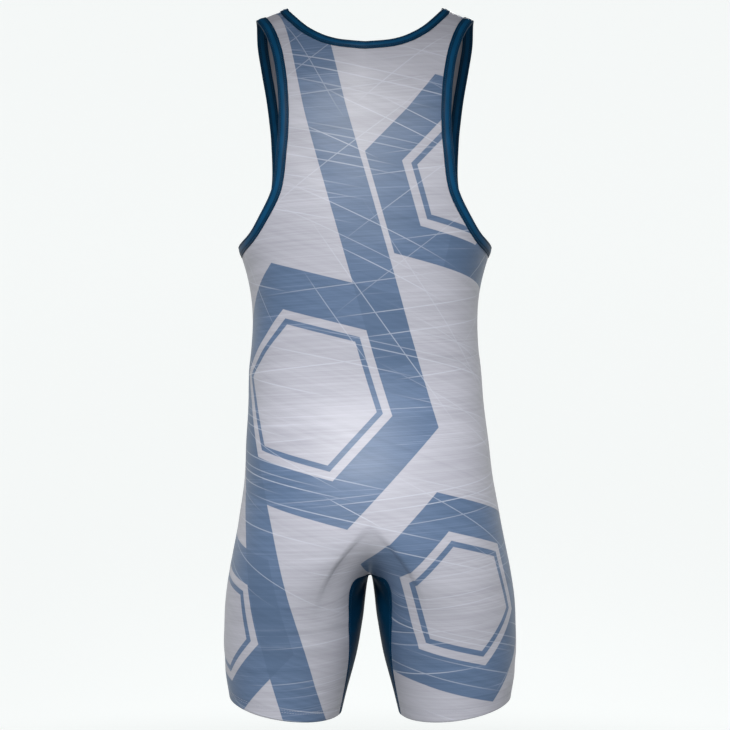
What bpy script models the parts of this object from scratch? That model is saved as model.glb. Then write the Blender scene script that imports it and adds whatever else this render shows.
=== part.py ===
"""Wrestling singlet in its worn form, hollow, as the pieces that it is cut and sewn from.

Metres, +Z up. The front faces -Y and the wearer's left is +X. The origin is between the
two straps, level with the underside of their middle, where the shoulders hold it up.
One side is worked out, from the centre back round to the centre front, and mirrored.
"""

import math
from collections import namedtuple

import bmesh
import bpy
from mathutils import Vector

# Cloth and seams
WALL = 0.0012
BINDING_WALL = 0.0010
SEAM_GAP = 0.0003
SEAM_PULL = 0.00018
NECK_BINDING = 0.010
ARMHOLE_BINDING = 0.012
HEM_DEPTH = 0.013
HEM_STEP = 0.0005

# Shoulders: the strap's middle, its fall towards the arm, and how deep both still count
STRAP_MIDDLE = 0.110
SHOULDER_FALL = 0.40
FALL_ENDS = -0.230
ARCH_HEIGHT = 0.130
SQUARENESS = 0.03

# The body leans a little to the wearer's right below the waist
LEAN = -0.0058
LEAN_STARTS = -0.380
LEAN_ENDS = -0.600

# Torso sections, each level and oval, from the shoulder line down to the seat
Section = namedtuple("Section", "level half_width back front")
TORSO = (
    Section(0.000, 0.1780, 0.060, 0.058),
    Section(-0.060, 0.1760, 0.076, 0.074),
    Section(-0.130, 0.1700, 0.092, 0.094),
    Section(-0.200, 0.1600, 0.101, 0.105),
    Section(-0.266, 0.1450, 0.104, 0.109),
    Section(-0.296, 0.1362, 0.103, 0.108),
    Section(-0.324, 0.1308, 0.100, 0.106),
    Section(-0.352, 0.1291, 0.096, 0.103),
    Section(-0.379, 0.1303, 0.093, 0.100),
    Section(-0.407, 0.1333, 0.091, 0.098),
    Section(-0.448, 0.1355, 0.094, 0.097),
    Section(-0.490, 0.1393, 0.102, 0.096),
    Section(-0.531, 0.1427, 0.112, 0.095),
    Section(-0.572, 0.1492, 0.118, 0.094),
)
SEAT_LEVEL = -0.572
CROTCH_LEVEL = -0.641

# Leg sections, square to a leg that turns outwards by its tilt in degrees
Leg = namedtuple("Leg", "level middle half_width back front tilt gusset_angle")
LEGS = (
    Leg(-0.6900, 0.0878, 0.0794, 0.092, 0.088, 1.5, 33.0),
    Leg(-0.7250, 0.0915, 0.0764, 0.085, 0.083, 4.0, 26.0),
    Leg(-0.7600, 0.0955, 0.0707, 0.081, 0.078, 6.5, 19.0),
    Leg(-0.7887, 0.0972, 0.0651, 0.079, 0.073, 8.2, 15.5),
)
THIGH_LEVEL = -0.690
HEM_LEVEL = -0.7887
HEM_DROP_BEHIND = 0.0020
GUSSET_NECK = 0.014
CORNER_SHARE = 0.74
CROTCH_TURN = 0.010

# Finished edges on one side, from the centre or the underarm up to the shoulder line
Edge = namedtuple("Edge", "x z")
BACK_NECK = (
    Edge(0.0000, -0.0433), Edge(0.0166, -0.0414), Edge(0.0313, -0.0387), Edge(0.0466, -0.0327),
    Edge(0.0624, -0.0225), Edge(0.0744, -0.0107), Edge(0.0860, 0.0035), Edge(0.0880, 0.0100),
)
FRONT_NECK = (
    Edge(0.0000, -0.1370), Edge(0.0280, -0.1320), Edge(0.0520, -0.1180), Edge(0.0700, -0.0930),
    Edge(0.0800, -0.0600), Edge(0.0850, -0.0280), Edge(0.0875, -0.0050), Edge(0.0880, 0.0100),
)
BACK_ARMHOLE = (
    Edge(0.1440, -0.2655), Edge(0.1281, -0.2529), Edge(0.1154, -0.2340), Edge(0.1048, -0.2139),
    Edge(0.1000, -0.1970), Edge(0.0970, -0.1677), Edge(0.0949, -0.1350), Edge(0.0960, -0.1016),
    Edge(0.0994, -0.0733), Edge(0.1051, -0.0473), Edge(0.1140, -0.0240), Edge(0.1255, -0.0050),
)
FRONT_ARMHOLE = (
    Edge(0.1440, -0.2655), Edge(0.1360, -0.2520), Edge(0.1260, -0.2340), Edge(0.1180, -0.2120),
    Edge(0.1125, -0.1764), Edge(0.1133, -0.1326), Edge(0.1155, -0.1066), Edge(0.1182, -0.0825),
    Edge(0.1225, -0.0544), Edge(0.1260, -0.0278), Edge(0.1255, -0.0050),
)

# How many faces each stretch has
COLUMNS = 10
BACK_NECK_STEPS = 9
FRONT_NECK_STEPS = 13
ARMHOLE_STEPS = 21
TORSO_ROWS = 14
UNDERARM_CENTRE = -0.318
CROTCH_COLUMNS = 4
CORNER_COLUMNS = 3
GUSSET_COLUMNS = 3
SEAT_ROWS = 6
LEG_ROWS = 5

# How finely lengths are measured, searched and walked
EDGE_SAMPLES = 120
HALVINGS = 40
WALK_STEPS = 4
SMALL_TURN = 0.001
SMALL_DROP = 0.002
NEARLY_STRAIGHT = 0.97

# Colours of the cloth
SILVER = (0.52, 0.52, 0.58)
NAVY = (0.012, 0.060, 0.130)
DARK_NAVY = (0.008, 0.040, 0.090)


def mix(a, b, share):
    """Value or point between two others."""
    return a + (b - a) * share


def smooth_step(share):
    """Soft rise from 0 to 1."""
    share = min(1.0, max(0.0, share))
    return share * share * (3 - 2 * share)


def smooth_curve(stops, values, at):
    """Smooth curve through values at their stops, with falling or rising stops."""
    sign = 1 if stops[-1] > stops[0] else -1
    at = min(max(sign * at, sign * stops[0]), sign * stops[-1]) * sign
    last = len(stops) - 2
    span = next((i for i in range(last) if sign * at <= sign * stops[i + 1]), last)

    def slope(i):
        low = max(i - 1, 0)
        high = min(i + 1, last + 1)
        return (values[high] - values[low]) / (stops[high] - stops[low])

    width = stops[span + 1] - stops[span]
    t = (at - stops[span]) / width
    rise = t * t * (3 - 2 * t)
    start = (t - 2 * t * t + t ** 3) * width
    end = (t ** 3 - t * t) * width
    value = values[span] + (values[span + 1] - values[span]) * rise
    return value + slope(span) * start + slope(span + 1) * end


def from_table(table, level, column):
    """Named column of a table of sections, read smoothly at a level."""
    levels = [row.level for row in table]
    return smooth_curve(levels, [getattr(row, column) for row in table], level)


def find(function, target, low, high):
    """Where a steadily rising function reaches its target."""
    for _ in range(HALVINGS):
        middle = (low + high) / 2
        if function(middle) < target:
            low = middle
        else:
            high = middle
    return (low + high) / 2


def oval(angle):
    """Slightly squared oval: sideways and forward shares of the half width and depth."""
    wide = (math.sin(angle) + SQUARENESS * math.sin(3 * angle)) / (1 - SQUARENESS)
    deep = (math.cos(angle) - SQUARENESS * math.cos(3 * angle)) / (1 - SQUARENESS)
    return wide, deep


def height(x, level):
    """Real height of a torso level, which falls towards the arm near the shoulder."""
    fall = SHOULDER_FALL * smooth_step(1 - level / FALL_ENDS)
    return WALL + level + fall * (STRAP_MIDDLE - x)


def torso(angle, turn):
    """Outer face of the torso. Angle 0 is the centre back and pi the centre front.

    Turn runs over the shoulder from 0, on the shoulder line, to 1, and on down the body.
    """
    if turn < 1:
        rise = (1 - turn) * math.pi / 2
        level = -ARCH_HEIGHT * (1 - math.sin(rise))
        fullness = math.cos(rise)
    else:
        level = -ARCH_HEIGHT * (1 + (turn - 1) * math.pi / 2)
        fullness = 1.0
    wide, deep = oval(angle)
    x = from_table(TORSO, level, "half_width") * wide
    depth = from_table(TORSO, level, "back" if deep > 0 else "front") * fullness
    return Vector((x, depth * deep, height(x, level)))


def turn_at(level):
    """The turn at which the torso reaches a level."""
    if level > -ARCH_HEIGHT:
        return 1 - math.asin(min(1.0, 1 + level / ARCH_HEIGHT)) * 2 / math.pi
    return 1 + (-level / ARCH_HEIGHT - 1) * 2 / math.pi


def place(x, z, front):
    """Angle and turn of the torso point seen at x, z from the front or the back."""
    level = find(lambda value: height(x, value), z, -0.5, 0.0)
    share = x / from_table(TORSO, level, "half_width")
    angle = find(lambda value: oval(value)[0], share, 0.0, math.pi / 2)
    return (math.pi - angle if front else angle), turn_at(level)


def normal_at(at):
    """Outward direction of the torso at an angle and turn, and its two slopes."""
    angle, turn = at
    across = (torso(angle + SMALL_TURN, turn) - torso(angle - SMALL_TURN, turn)) / (2 * SMALL_TURN)
    back = min(SMALL_TURN, turn)
    down = (torso(angle, turn + SMALL_TURN) - torso(angle, turn - back)) / (SMALL_TURN + back)
    return across.cross(down).normalized(), across, down


def walk(at, direction, distance):
    """Angle and turn reached by walking a distance over the torso."""
    for _ in range(WALK_STEPS):
        normal, across, down = normal_at(at)
        flat = direction - normal * direction.dot(normal)
        step = flat.normalized() * distance / WALK_STEPS
        aa, ad, dd = across.dot(across), across.dot(down), down.dot(down)
        sa, sd = step.dot(across), step.dot(down)
        scale = aa * dd - ad * ad
        at = (at[0] + (sa * dd - sd * ad) / scale, at[1] + (sd * aa - sa * ad) / scale)
    return at


def stations(edge, steps, front):
    """Evenly spaced places along a finished edge."""
    stops = list(range(len(edge)))
    xs = [point.x for point in edge]
    zs = [point.z for point in edge]
    places = []
    for i in range(EDGE_SAMPLES + 1):
        at = i * stops[-1] / EDGE_SAMPLES
        places.append(place(smooth_curve(stops, xs, at), smooth_curve(stops, zs, at), front))
    points = [torso(*at) for at in places]
    lengths = [0.0]
    for a, b in zip(points, points[1:]):
        lengths.append(lengths[-1] + (b - a).length)
    found = []
    for k in range(steps + 1):
        goal = lengths[-1] * k / steps
        last = EDGE_SAMPLES - 1
        i = next((n for n in range(last) if lengths[n + 1] >= goal), last)
        share = (goal - lengths[i]) / (lengths[i + 1] - lengths[i])
        found.append(tuple(mix(a, b, share) for a, b in zip(places[i], places[i + 1])))
    start = math.pi / 2 if edge[0].x > 0 else (math.pi if front else 0.0)
    found[0] = (start, found[0][1])
    found[-1] = (found[-1][0], 0.0)
    return found


def inner_line(edge, width, start_along, front, towards_arm):
    """Places a binding's width in from each station of an edge."""
    points = [torso(*at) for at in edge]
    inner = []
    for k, at in enumerate(edge):
        if k == 0:
            along = Vector(start_along)
        elif k == len(edge) - 1:
            along = Vector((0, -1 if front else 1, 0))
        else:
            along = points[k - 1] - points[k + 1]
        inwards = normal_at(at)[0].cross(along)
        flip = 1 if front == towards_arm else -1
        inner.append(walk(at, inwards * flip, width))
    inner[0] = (edge[0][0], inner[0][1])
    inner[-1] = (inner[-1][0], 0.0)
    return inner


def torso_rows(neck, armhole, neck_steps, front):
    """Rows from the underarm up to the shoulder line, and from the underarm down to the seat.

    The first rows start at the centre line and the rest at the neck.
    """
    down_the_side = (0, 1 if front else -1, 0)
    necks = stations(neck, neck_steps, front)
    arms = stations(armhole, ARMHOLE_STEPS, front)
    neck_line = inner_line(necks, NECK_BINDING, (-1, 0, 0), front, True)
    arm_line = inner_line(arms, ARMHOLE_BINDING, down_the_side, front, False)
    centre = math.pi if front else 0.0
    body_steps = ARMHOLE_STEPS - neck_steps
    low = turn_at(UNDERARM_CENTRE)
    seat = turn_at(SEAT_LEVEL)
    rows = []
    for k in range(ARMHOLE_STEPS + 1):
        fan = k - body_steps
        if fan < 0:
            first = (centre, mix(low, neck_line[0][1], k / body_steps))
        else:
            first = neck_line[fan]
        last = arm_line[k]
        row = torso_row(first, last) + [torso(*arms[k])]
        rows.append([torso(*necks[fan])] + row if fan >= 0 else row)
    lower = []
    for k in range(TORSO_ROWS + 1):
        side = mix(arm_line[0][1], seat, k / TORSO_ROWS)
        lower.append(torso_row((centre, mix(low, seat, k / TORSO_ROWS)), (math.pi / 2, side)))
    return rows, lower, body_steps


def torso_row(first, last):
    """Row of points from one place on the torso to another."""
    shares = [c / COLUMNS for c in range(COLUMNS + 1)]
    return [torso(mix(first[0], last[0], share), mix(first[1], last[1], share)) for share in shares]


def leg(angle, level):
    """Outer face of a leg. Angle 0 is the outer side and pi the inner side, behind or before."""
    wide = math.cos(angle) * from_table(LEGS, level, "half_width")
    depth = from_table(LEGS, level, "back" if angle > 0 else "front")
    tilt = math.radians(from_table(LEGS, level, "tilt"))
    x = from_table(LEGS, level, "middle") + wide * math.cos(tilt)
    drop = HEM_DROP_BEHIND * (level - THIGH_LEVEL) / (HEM_LEVEL - THIGH_LEVEL) * math.sin(angle)
    return Vector((x, math.sin(angle) * depth, level + wide * math.sin(tilt) - drop))


def leg_column(column, level, front):
    """Leg point of a column, counted from the side seam to the inner side."""
    gusset = math.radians(from_table(LEGS, level, "gusset_angle"))
    panel = math.pi - gusset
    edge = COLUMNS + CROTCH_COLUMNS
    if column <= COLUMNS:
        angle = panel * CORNER_SHARE * column / COLUMNS
    elif column <= edge:
        angle = panel * mix(CORNER_SHARE, 1.0, (column - COLUMNS) / CROTCH_COLUMNS)
    else:
        angle = panel + gusset * (column - edge) / GUSSET_COLUMNS
    return leg(-angle if front else angle, level)


def crotch(column, front):
    """Point of the centre line under the body, from the seat in to the middle of the gusset."""
    depth = from_table(TORSO, SEAT_LEVEL, "front" if front else "back")
    neck_angle = math.acos(GUSSET_NECK / depth)
    edge = COLUMNS + CROTCH_COLUMNS
    if column <= edge:
        angle = neck_angle * (column - COLUMNS) / CROTCH_COLUMNS
    else:
        angle = math.acos(GUSSET_NECK / depth * (1 - (column - edge) / GUSSET_COLUMNS))
    drop = (SEAT_LEVEL - CROTCH_LEVEL) * math.sin(angle)
    side = -1 if front else 1
    seat = height(0, SEAT_LEVEL)
    return Vector((0, side * depth * math.cos(angle), seat - drop))


def seat_point(column, share, front):
    """Point between the seat and the thigh, on a curve that leaves both of them smoothly."""
    sideways = Vector((1, 0, 0))
    end = leg_column(column, THIGH_LEVEL, front)
    if column <= COLUMNS:
        side = 1 if front else -1
        angle = math.pi / 2 * (1 + side * column / COLUMNS)
        start = torso(angle, turn_at(SEAT_LEVEL))
        above = torso(angle, turn_at(SEAT_LEVEL + SMALL_DROP))
        leaning = max(0.0, 1 - (COLUMNS - column) / CORNER_COLUMNS)
        leave = ((start - above).normalized() + sideways * leaning ** 2).normalized()
        pull = (end - start).length
    else:
        start = crotch(column, front)
        into = (COLUMNS + CROTCH_COLUMNS - column) / CROTCH_COLUMNS
        ahead = (start - crotch(column - SMALL_DROP, front)).normalized()
        leave = (sideways + ahead * max(0.0, into) ** 2).normalized()
        pull = mix(CROTCH_TURN, (end - start).length, max(0.0, into))
    arrive = (leg_column(column, THIGH_LEVEL - SMALL_DROP, front) - end).normalized()
    leaving = share - 2 * share ** 2 + share ** 3
    arriving = share ** 3 - share ** 2
    bend = leave * pull * leaving + arrive * (end - start).length * arriving
    return mix(start, end, smooth_step(share)) + bend


def leg_rows(first, last, front):
    """Rows of the leg columns from first to last, from the seat to the hem."""
    columns = range(first, last + 1)
    rows = [[seat_point(c, k / SEAT_ROWS, front) for c in columns] for k in range(SEAT_ROWS)]
    hem_line = HEM_LEVEL + HEM_DEPTH
    levels = [mix(THIGH_LEVEL, hem_line, k / LEG_ROWS) for k in range(LEG_ROWS + 1)]
    levels += [hem_line - HEM_STEP, HEM_LEVEL]
    rows += [[leg_column(c, level, front) for c in columns] for level in levels]
    return rows


def faces_between(rows):
    """Quads between rows that are lined up at their last points."""
    quads = []
    for upper, lower in zip(rows, rows[1:]):
        count = min(len(upper), len(lower))
        upper = upper[-count:]
        lower = lower[-count:]
        for c in range(count - 1):
            quads.append((upper[c], upper[c + 1], lower[c + 1], lower[c]))
    return quads


def lean(point):
    """The form's slight sideways lean below the waist."""
    share = smooth_step((point.z - LEAN_STARTS) / (LEAN_ENDS - LEAN_STARTS))
    return Vector((point.x + LEAN * share, point.y, point.z))


def mirrored(point):
    """The point's mirror image on the other side."""
    return Vector((-point.x, point.y, point.z))


def both_sides(quads):
    """One side's faces and their mirror image, leaned."""
    whole = []
    for quad in quads:
        whole.append([lean(point) for point in quad])
        whole.append([lean(mirrored(point)) for point in reversed(quad)])
    return whole


def panel_faces(front):
    """One side of the front or back panel, with its finished edge points and their inner line."""
    table = (FRONT_NECK, FRONT_ARMHOLE, FRONT_NECK_STEPS) if front else (
        BACK_NECK, BACK_ARMHOLE, BACK_NECK_STEPS)
    upper, lower, body_steps = torso_rows(*table, front)
    quads = faces_between(list(reversed(upper)))
    quads += faces_between(lower)
    legs = [list(reversed(row)) for row in leg_rows(0, COLUMNS + CROTCH_COLUMNS, front)]
    quads += faces_between(legs)
    neck = [(row[0], row[1]) for row in upper[body_steps:]]
    armhole = [(row[-1], row[-2]) for row in upper]
    return quads, neck, armhole


def key(point):
    """Place of a point to a hundredth of a millimetre, to find it again."""
    return tuple(round(value * 1e5) for value in point)


def halves(quad, shape):
    """Two triangles of a quad, parted along the shorter diagonal that its shape has."""
    a, b, c, d = quad
    if (shape[0] - shape[2]).length <= (shape[1] - shape[3]).length:
        return (a, b, c), (a, c, d)
    return (a, b, d), (b, c, d)


def open_mesh(quads):
    """Open surface of triangles that share their corners."""
    mesh = bmesh.new()
    corners = {}
    for quad in quads:
        for point in quad:
            if key(point) not in corners:
                corners[key(point)] = mesh.verts.new(point)
        for triangle in halves([corners[key(point)] for point in quad], quad):
            mesh.faces.new(triangle)
    mesh.normal_update()
    return mesh


def turn_outwards(quads, known=None):
    """Open surface with its faces turned the known way, or else away from the body's hollow."""
    mesh = open_mesh(quads)
    bmesh.ops.recalc_face_normals(mesh, faces=mesh.faces)
    mesh.normal_update()
    face = max(mesh.faces, key=lambda one: one.calc_center_median().x)
    outwards = known[key(face.verts[0].co)] if known else Vector((1, 0, 0))
    if face.normal.dot(outwards) < 0:
        bmesh.ops.reverse_faces(mesh, faces=mesh.faces)
    mesh.normal_update()
    return mesh


def make_object(name, mesh, colour, collection):
    """Object with its own cloth material."""
    data = bpy.data.meshes.new(name)
    mesh.to_mesh(data)
    mesh.free()
    data.shade_smooth()
    data.set_sharp_from_angle(angle=math.radians(50))
    material = bpy.data.materials.new(name)
    material.use_nodes = True
    shader = material.node_tree.nodes["Principled BSDF"]
    shader.inputs["Base Color"].default_value = (*colour, 1)
    shader.inputs["Roughness"].default_value = 0.6
    shader.inputs["Metallic"].default_value = 0.0
    data.materials.append(material)
    made = bpy.data.objects.new(name, data)
    collection.objects.link(made)
    return made


def inward_shift(vert, finished):
    """How far a border point moves into its piece: half a seam, or a binding's fold."""
    wanted = []
    for edge in vert.link_edges:
        if not edge.is_boundary:
            continue
        face = edge.link_faces[0]
        along = edge.verts[1].co - edge.verts[0].co
        inwards = face.normal.cross(along).normalized()
        if inwards.dot(face.calc_center_median() - edge.verts[0].co) < 0:
            inwards = -inwards
        ends = [key(v.co) for v in edge.verts]
        if all(end in finished["hem"] for end in ends):
            distance = 0.0
        elif all(end in finished["bound"] for end in ends):
            distance = BINDING_WALL + SEAM_GAP
        else:
            distance = SEAM_PULL
        wanted.append((inwards, distance))
    (one, first), (two, second) = wanted
    turn = one.dot(two)
    if turn > NEARLY_STRAIGHT:
        return (one + two).normalized() * max(first, second)
    scale = 1 - turn * turn
    return one * ((first - turn * second) / scale) + two * ((second - turn * first) / scale)


def wall(mesh, normals, finished, hem_points):
    """Closed cloth wall from an open surface, with its hem twice as thick."""
    outer = {}
    inner = {}
    solid = bmesh.new()
    for vert in mesh.verts:
        place_of = key(vert.co)
        shift = inward_shift(vert, finished) if vert.is_boundary else Vector((0, 0, 0))
        thickness = 2 * WALL if place_of in hem_points else WALL
        outer[vert] = solid.verts.new(vert.co + shift)
        inner[vert] = solid.verts.new(vert.co + shift - normals[place_of] * thickness)
    for face in mesh.faces:
        solid.faces.new([outer[v] for v in face.verts])
        solid.faces.new([inner[v] for v in reversed(face.verts)])
    for edge in mesh.edges:
        if edge.is_boundary:
            loop = edge.link_loops[0]
            a, b = loop.vert, loop.link_loop_next.vert
            solid.faces.new((outer[b], outer[a], inner[a], inner[b]))
    return solid


def binding(loop, normals):
    """Folded strip over a finished edge: a ring of U sections, one at each station."""
    clear = SEAM_GAP
    skin = BINDING_WALL
    rings = []
    solid = bmesh.new()
    for edge, inner in loop:
        at_edge = normals[key(edge)]
        at_inner = normals[key(inner)]
        into = (inner - edge).normalized()
        section = (
            inner + at_inner * (clear + skin),
            edge + into * skin + at_edge * (clear + skin),
            edge + at_edge * (clear - WALL / 2),
            edge - at_edge * (WALL / 2 + clear),
            edge + into * skin - at_edge * (WALL + clear + skin),
            inner - at_inner * (WALL + clear + skin),
            inner - at_inner * (WALL + clear),
            edge + into * skin - at_edge * (WALL + clear),
            edge + into * skin + at_edge * clear,
            inner + at_inner * clear,
        )
        rings.append([solid.verts.new(point) for point in section])
    on_inner_line = (0, 5, 6, 9)
    for k, ring in enumerate(rings):
        after = (k + 1) % len(rings)
        for i in range(len(ring)):
            j = (i + 1) % len(ring)
            one = 1 if i in on_inner_line else 0
            two = 1 if j in on_inner_line else 0
            quad = (ring[i], ring[j], rings[after][j], rings[after][i])
            shape = (loop[k][one], loop[k][two], loop[after][two], loop[after][one])
            for triangle in halves(quad, shape):
                solid.faces.new(triangle)
    bmesh.ops.recalc_face_normals(solid, faces=solid.faces)
    return solid


def whole_pair(pair):
    """An edge point and its inner point on the left side, leaned."""
    return tuple(lean(point) for point in pair)


def mirrored_pair(pair):
    """An edge point and its inner point on the right side, leaned."""
    return tuple(lean(mirrored(point)) for point in pair)


def row_keys(rows):
    """Keys of the points of some rows, on both sides."""
    points = [point for row in rows for point in row]
    return {key(lean(point)) for point in points} | {key(lean(mirrored(point))) for point in points}


def main():
    """Clear the scene and build the singlet's pieces."""
    for old in list(bpy.data.objects):
        bpy.data.objects.remove(old, do_unlink=True)
    collection = bpy.data.collections.new("wrestling_singlet")
    bpy.context.scene.collection.children.link(collection)

    back, back_neck, back_armhole = panel_faces(False)
    front, front_neck, front_armhole = panel_faces(True)
    seam_column = COLUMNS + CROTCH_COLUMNS
    inner_edge = seam_column + GUSSET_COLUMNS
    gusset = []
    for is_front in (False, True):
        gusset += faces_between(leg_rows(seam_column, inner_edge, is_front))
    pieces = {
        "back_panel": both_sides(back),
        "front_panel": both_sides(front),
        "gusset": both_sides(gusset),
    }

    whole = turn_outwards([quad for quads in pieces.values() for quad in quads])
    normals = {key(vert.co): vert.normal.copy() for vert in whole.verts}
    whole.free()

    neck = back_neck + front_neck[-2::-1]
    neck_loop = [whole_pair(pair) for pair in neck]
    neck_loop += [mirrored_pair(pair) for pair in neck[-2:0:-1]]
    arm = back_armhole + front_armhole[-2:0:-1]
    left_arm = [whole_pair(pair) for pair in arm]
    right_arm = [mirrored_pair(pair) for pair in arm]

    hems = [leg_rows(0, inner_edge, is_front)[-2:] for is_front in (False, True)]
    thick = row_keys([row for rows in hems for row in rows])
    finished = {
        "bound": {key(edge) for edge, _ in neck_loop + left_arm + right_arm},
        "hem": row_keys([rows[-1] for rows in hems]),
    }

    colours = {"back_panel": SILVER, "front_panel": SILVER, "gusset": DARK_NAVY}
    for name, quads in pieces.items():
        surface = turn_outwards(quads, normals)
        make_object(name, wall(surface, normals, finished, thick), colours[name], collection)
        surface.free()
    make_object("neck_binding", binding(neck_loop, normals), NAVY, collection)
    make_object("armhole_binding_left", binding(left_arm, normals), NAVY, collection)
    make_object("armhole_binding_right", binding(right_arm, normals), NAVY, collection)


main()
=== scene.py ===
"""Looks of a wrestling singlet in its worn form: printed panels, gusset, bindings and stitching."""
import math
from collections import namedtuple

import bmesh
import bpy
import numpy
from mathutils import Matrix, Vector, noise


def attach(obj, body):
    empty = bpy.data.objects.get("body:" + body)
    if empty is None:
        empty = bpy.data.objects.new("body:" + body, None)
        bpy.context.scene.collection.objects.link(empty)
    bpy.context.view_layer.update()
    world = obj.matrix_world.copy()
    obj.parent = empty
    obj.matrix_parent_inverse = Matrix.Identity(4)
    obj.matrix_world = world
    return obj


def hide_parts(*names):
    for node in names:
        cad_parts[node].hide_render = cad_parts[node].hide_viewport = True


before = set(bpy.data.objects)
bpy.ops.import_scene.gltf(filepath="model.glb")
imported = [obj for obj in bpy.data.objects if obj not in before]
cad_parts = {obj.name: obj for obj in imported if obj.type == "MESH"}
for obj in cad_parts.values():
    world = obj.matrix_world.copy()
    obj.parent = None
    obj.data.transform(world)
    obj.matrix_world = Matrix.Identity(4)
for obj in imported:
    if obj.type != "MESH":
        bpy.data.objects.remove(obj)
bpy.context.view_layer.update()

# Cloth, seams and edges, in metres
CAD_WALL = 0.0012
CLOTH = 0.0009
SEAM_PULL = 0.00008
BOUND_PULL = 0.0021
NECK_BINDING = 0.010
ARMHOLE_BINDING = 0.012
BINDING_SKIN = 0.0008
BINDING_LIFT = 0.0003
HEM_DEPTH = 0.013
HEM_STEP = 0.0012

# Shoulders: the strap's middle, its fall towards the arm, and how deep both still count
STRAP_MIDDLE = 0.110
SHOULDER_FALL = 0.40
FALL_ENDS = -0.230
ARCH_HEIGHT = 0.130
SQUARENESS = 0.03

# The body leans a little to the wearer's right below the waist
LEAN = -0.0058
LEAN_STARTS = -0.380
LEAN_ENDS = -0.600

# Torso sections, each level and oval, from the shoulder line down to the seat
Section = namedtuple("Section", "level half_width back front")
TORSO = (
    Section(0.000, 0.1780, 0.060, 0.058),
    Section(-0.060, 0.1760, 0.076, 0.074),
    Section(-0.130, 0.1700, 0.092, 0.094),
    Section(-0.200, 0.1600, 0.101, 0.105),
    Section(-0.266, 0.1450, 0.104, 0.109),
    Section(-0.296, 0.1362, 0.103, 0.108),
    Section(-0.324, 0.1308, 0.100, 0.106),
    Section(-0.352, 0.1291, 0.096, 0.103),
    Section(-0.379, 0.1303, 0.093, 0.100),
    Section(-0.407, 0.1333, 0.091, 0.098),
    Section(-0.448, 0.1355, 0.094, 0.097),
    Section(-0.490, 0.1393, 0.102, 0.096),
    Section(-0.531, 0.1427, 0.112, 0.095),
    Section(-0.572, 0.1492, 0.118, 0.094),
)
SEAT_LEVEL = -0.572
CROTCH_LEVEL = -0.641

# Leg sections, square to a leg that turns outwards by its tilt in degrees
Leg = namedtuple("Leg", "level middle half_width back front tilt gusset_angle")
LEGS = (
    Leg(-0.6900, 0.0878, 0.0794, 0.092, 0.088, 1.5, 33.0),
    Leg(-0.7250, 0.0915, 0.0764, 0.085, 0.083, 4.0, 26.0),
    Leg(-0.7600, 0.0955, 0.0707, 0.081, 0.078, 6.5, 19.0),
    Leg(-0.7887, 0.0972, 0.0651, 0.079, 0.073, 8.2, 15.5),
)
THIGH_LEVEL = -0.690
HEM_LEVEL = -0.7887
HEM_DROP_BEHIND = 0.0020
GUSSET_NECK = 0.014
CORNER_SHARE = 0.74
CROTCH_TURN = 0.010

# The gusset's seam: the column it takes along its run, which makes the arch of its upper end
Arch = namedtuple("Arch", "run stop")
GUSSET_ARCH = (
    Arch(0.00, 1.83), Arch(0.18, 1.73), Arch(0.36, 1.57), Arch(0.50, 1.60), Arch(0.62, 1.71),
    Arch(0.80, 1.86), Arch(1.00, 1.93), Arch(1.50, 1.98), Arch(2.00, 2.00),
)

# Finished edges on one side, from the centre or the underarm up to the shoulder line
Edge = namedtuple("Edge", "x z")
BACK_NECK = (
    Edge(0.0000, -0.0433), Edge(0.0166, -0.0414), Edge(0.0313, -0.0387), Edge(0.0466, -0.0327),
    Edge(0.0624, -0.0225), Edge(0.0744, -0.0107), Edge(0.0860, 0.0035), Edge(0.0880, 0.0100),
)
FRONT_NECK = (
    Edge(0.0000, -0.1370), Edge(0.0280, -0.1320), Edge(0.0520, -0.1180), Edge(0.0700, -0.0930),
    Edge(0.0800, -0.0600), Edge(0.0850, -0.0280), Edge(0.0875, -0.0050), Edge(0.0880, 0.0100),
)
BACK_ARMHOLE = (
    Edge(0.1440, -0.2655), Edge(0.1281, -0.2529), Edge(0.1154, -0.2340), Edge(0.1048, -0.2139),
    Edge(0.1000, -0.1970), Edge(0.0970, -0.1677), Edge(0.0949, -0.1350), Edge(0.0960, -0.1016),
    Edge(0.0994, -0.0733), Edge(0.1051, -0.0473), Edge(0.1140, -0.0240), Edge(0.1255, -0.0050),
)
FRONT_ARMHOLE = (
    Edge(0.1440, -0.2655), Edge(0.1360, -0.2520), Edge(0.1260, -0.2340), Edge(0.1180, -0.2120),
    Edge(0.1125, -0.1764), Edge(0.1133, -0.1326), Edge(0.1155, -0.1066), Edge(0.1182, -0.0825),
    Edge(0.1225, -0.0544), Edge(0.1260, -0.0278), Edge(0.1255, -0.0050),
)

# How many faces each stretch has, and the finer ones beside a seam, as shares of the stretch
PANEL_COLUMNS = 38
PANEL_FINE = (0.0040, 0.0085, 0.0140, 0.0220)
CROTCH_COLUMNS = 14
CROTCH_FINE = (0.0100, 0.0210, 0.0350, 0.0550)
GUSSET_COLUMNS = 9
GUSSET_FINE = (0.0250, 0.0500, 0.0900)
BINDING_COLUMNS = 3
BACK_NECK_STEPS = 34
FRONT_NECK_STEPS = 50
ARMHOLE_STEPS = 86
SHOULDER_FINE = (0.0030, 0.0062, 0.0100)
TORSO_ROWS = 74
UNDERARM_CENTRE = -0.318
SEAT_ROWS = 34
LEG_ROWS = 24
HEM_ROWS = 5
HEM_LINES = (-1 - HEM_ROWS, -HEM_ROWS)
BESIDE = 2
CORNER_REACH = 0.3

# How finely lengths are measured, searched and walked
EDGE_SAMPLES = 240
HALVINGS = 40
WALK_STEPS = 4
ARC_STEPS = 12
SMALL_TURN = 0.001
SMALL_DROP = 0.002
SMALL_SHARE = 0.0005
NEARLY_STRAIGHT = 0.97
DEEPEST_PLACE = -0.5
GROOVE_BLOCK = 2000

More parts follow.
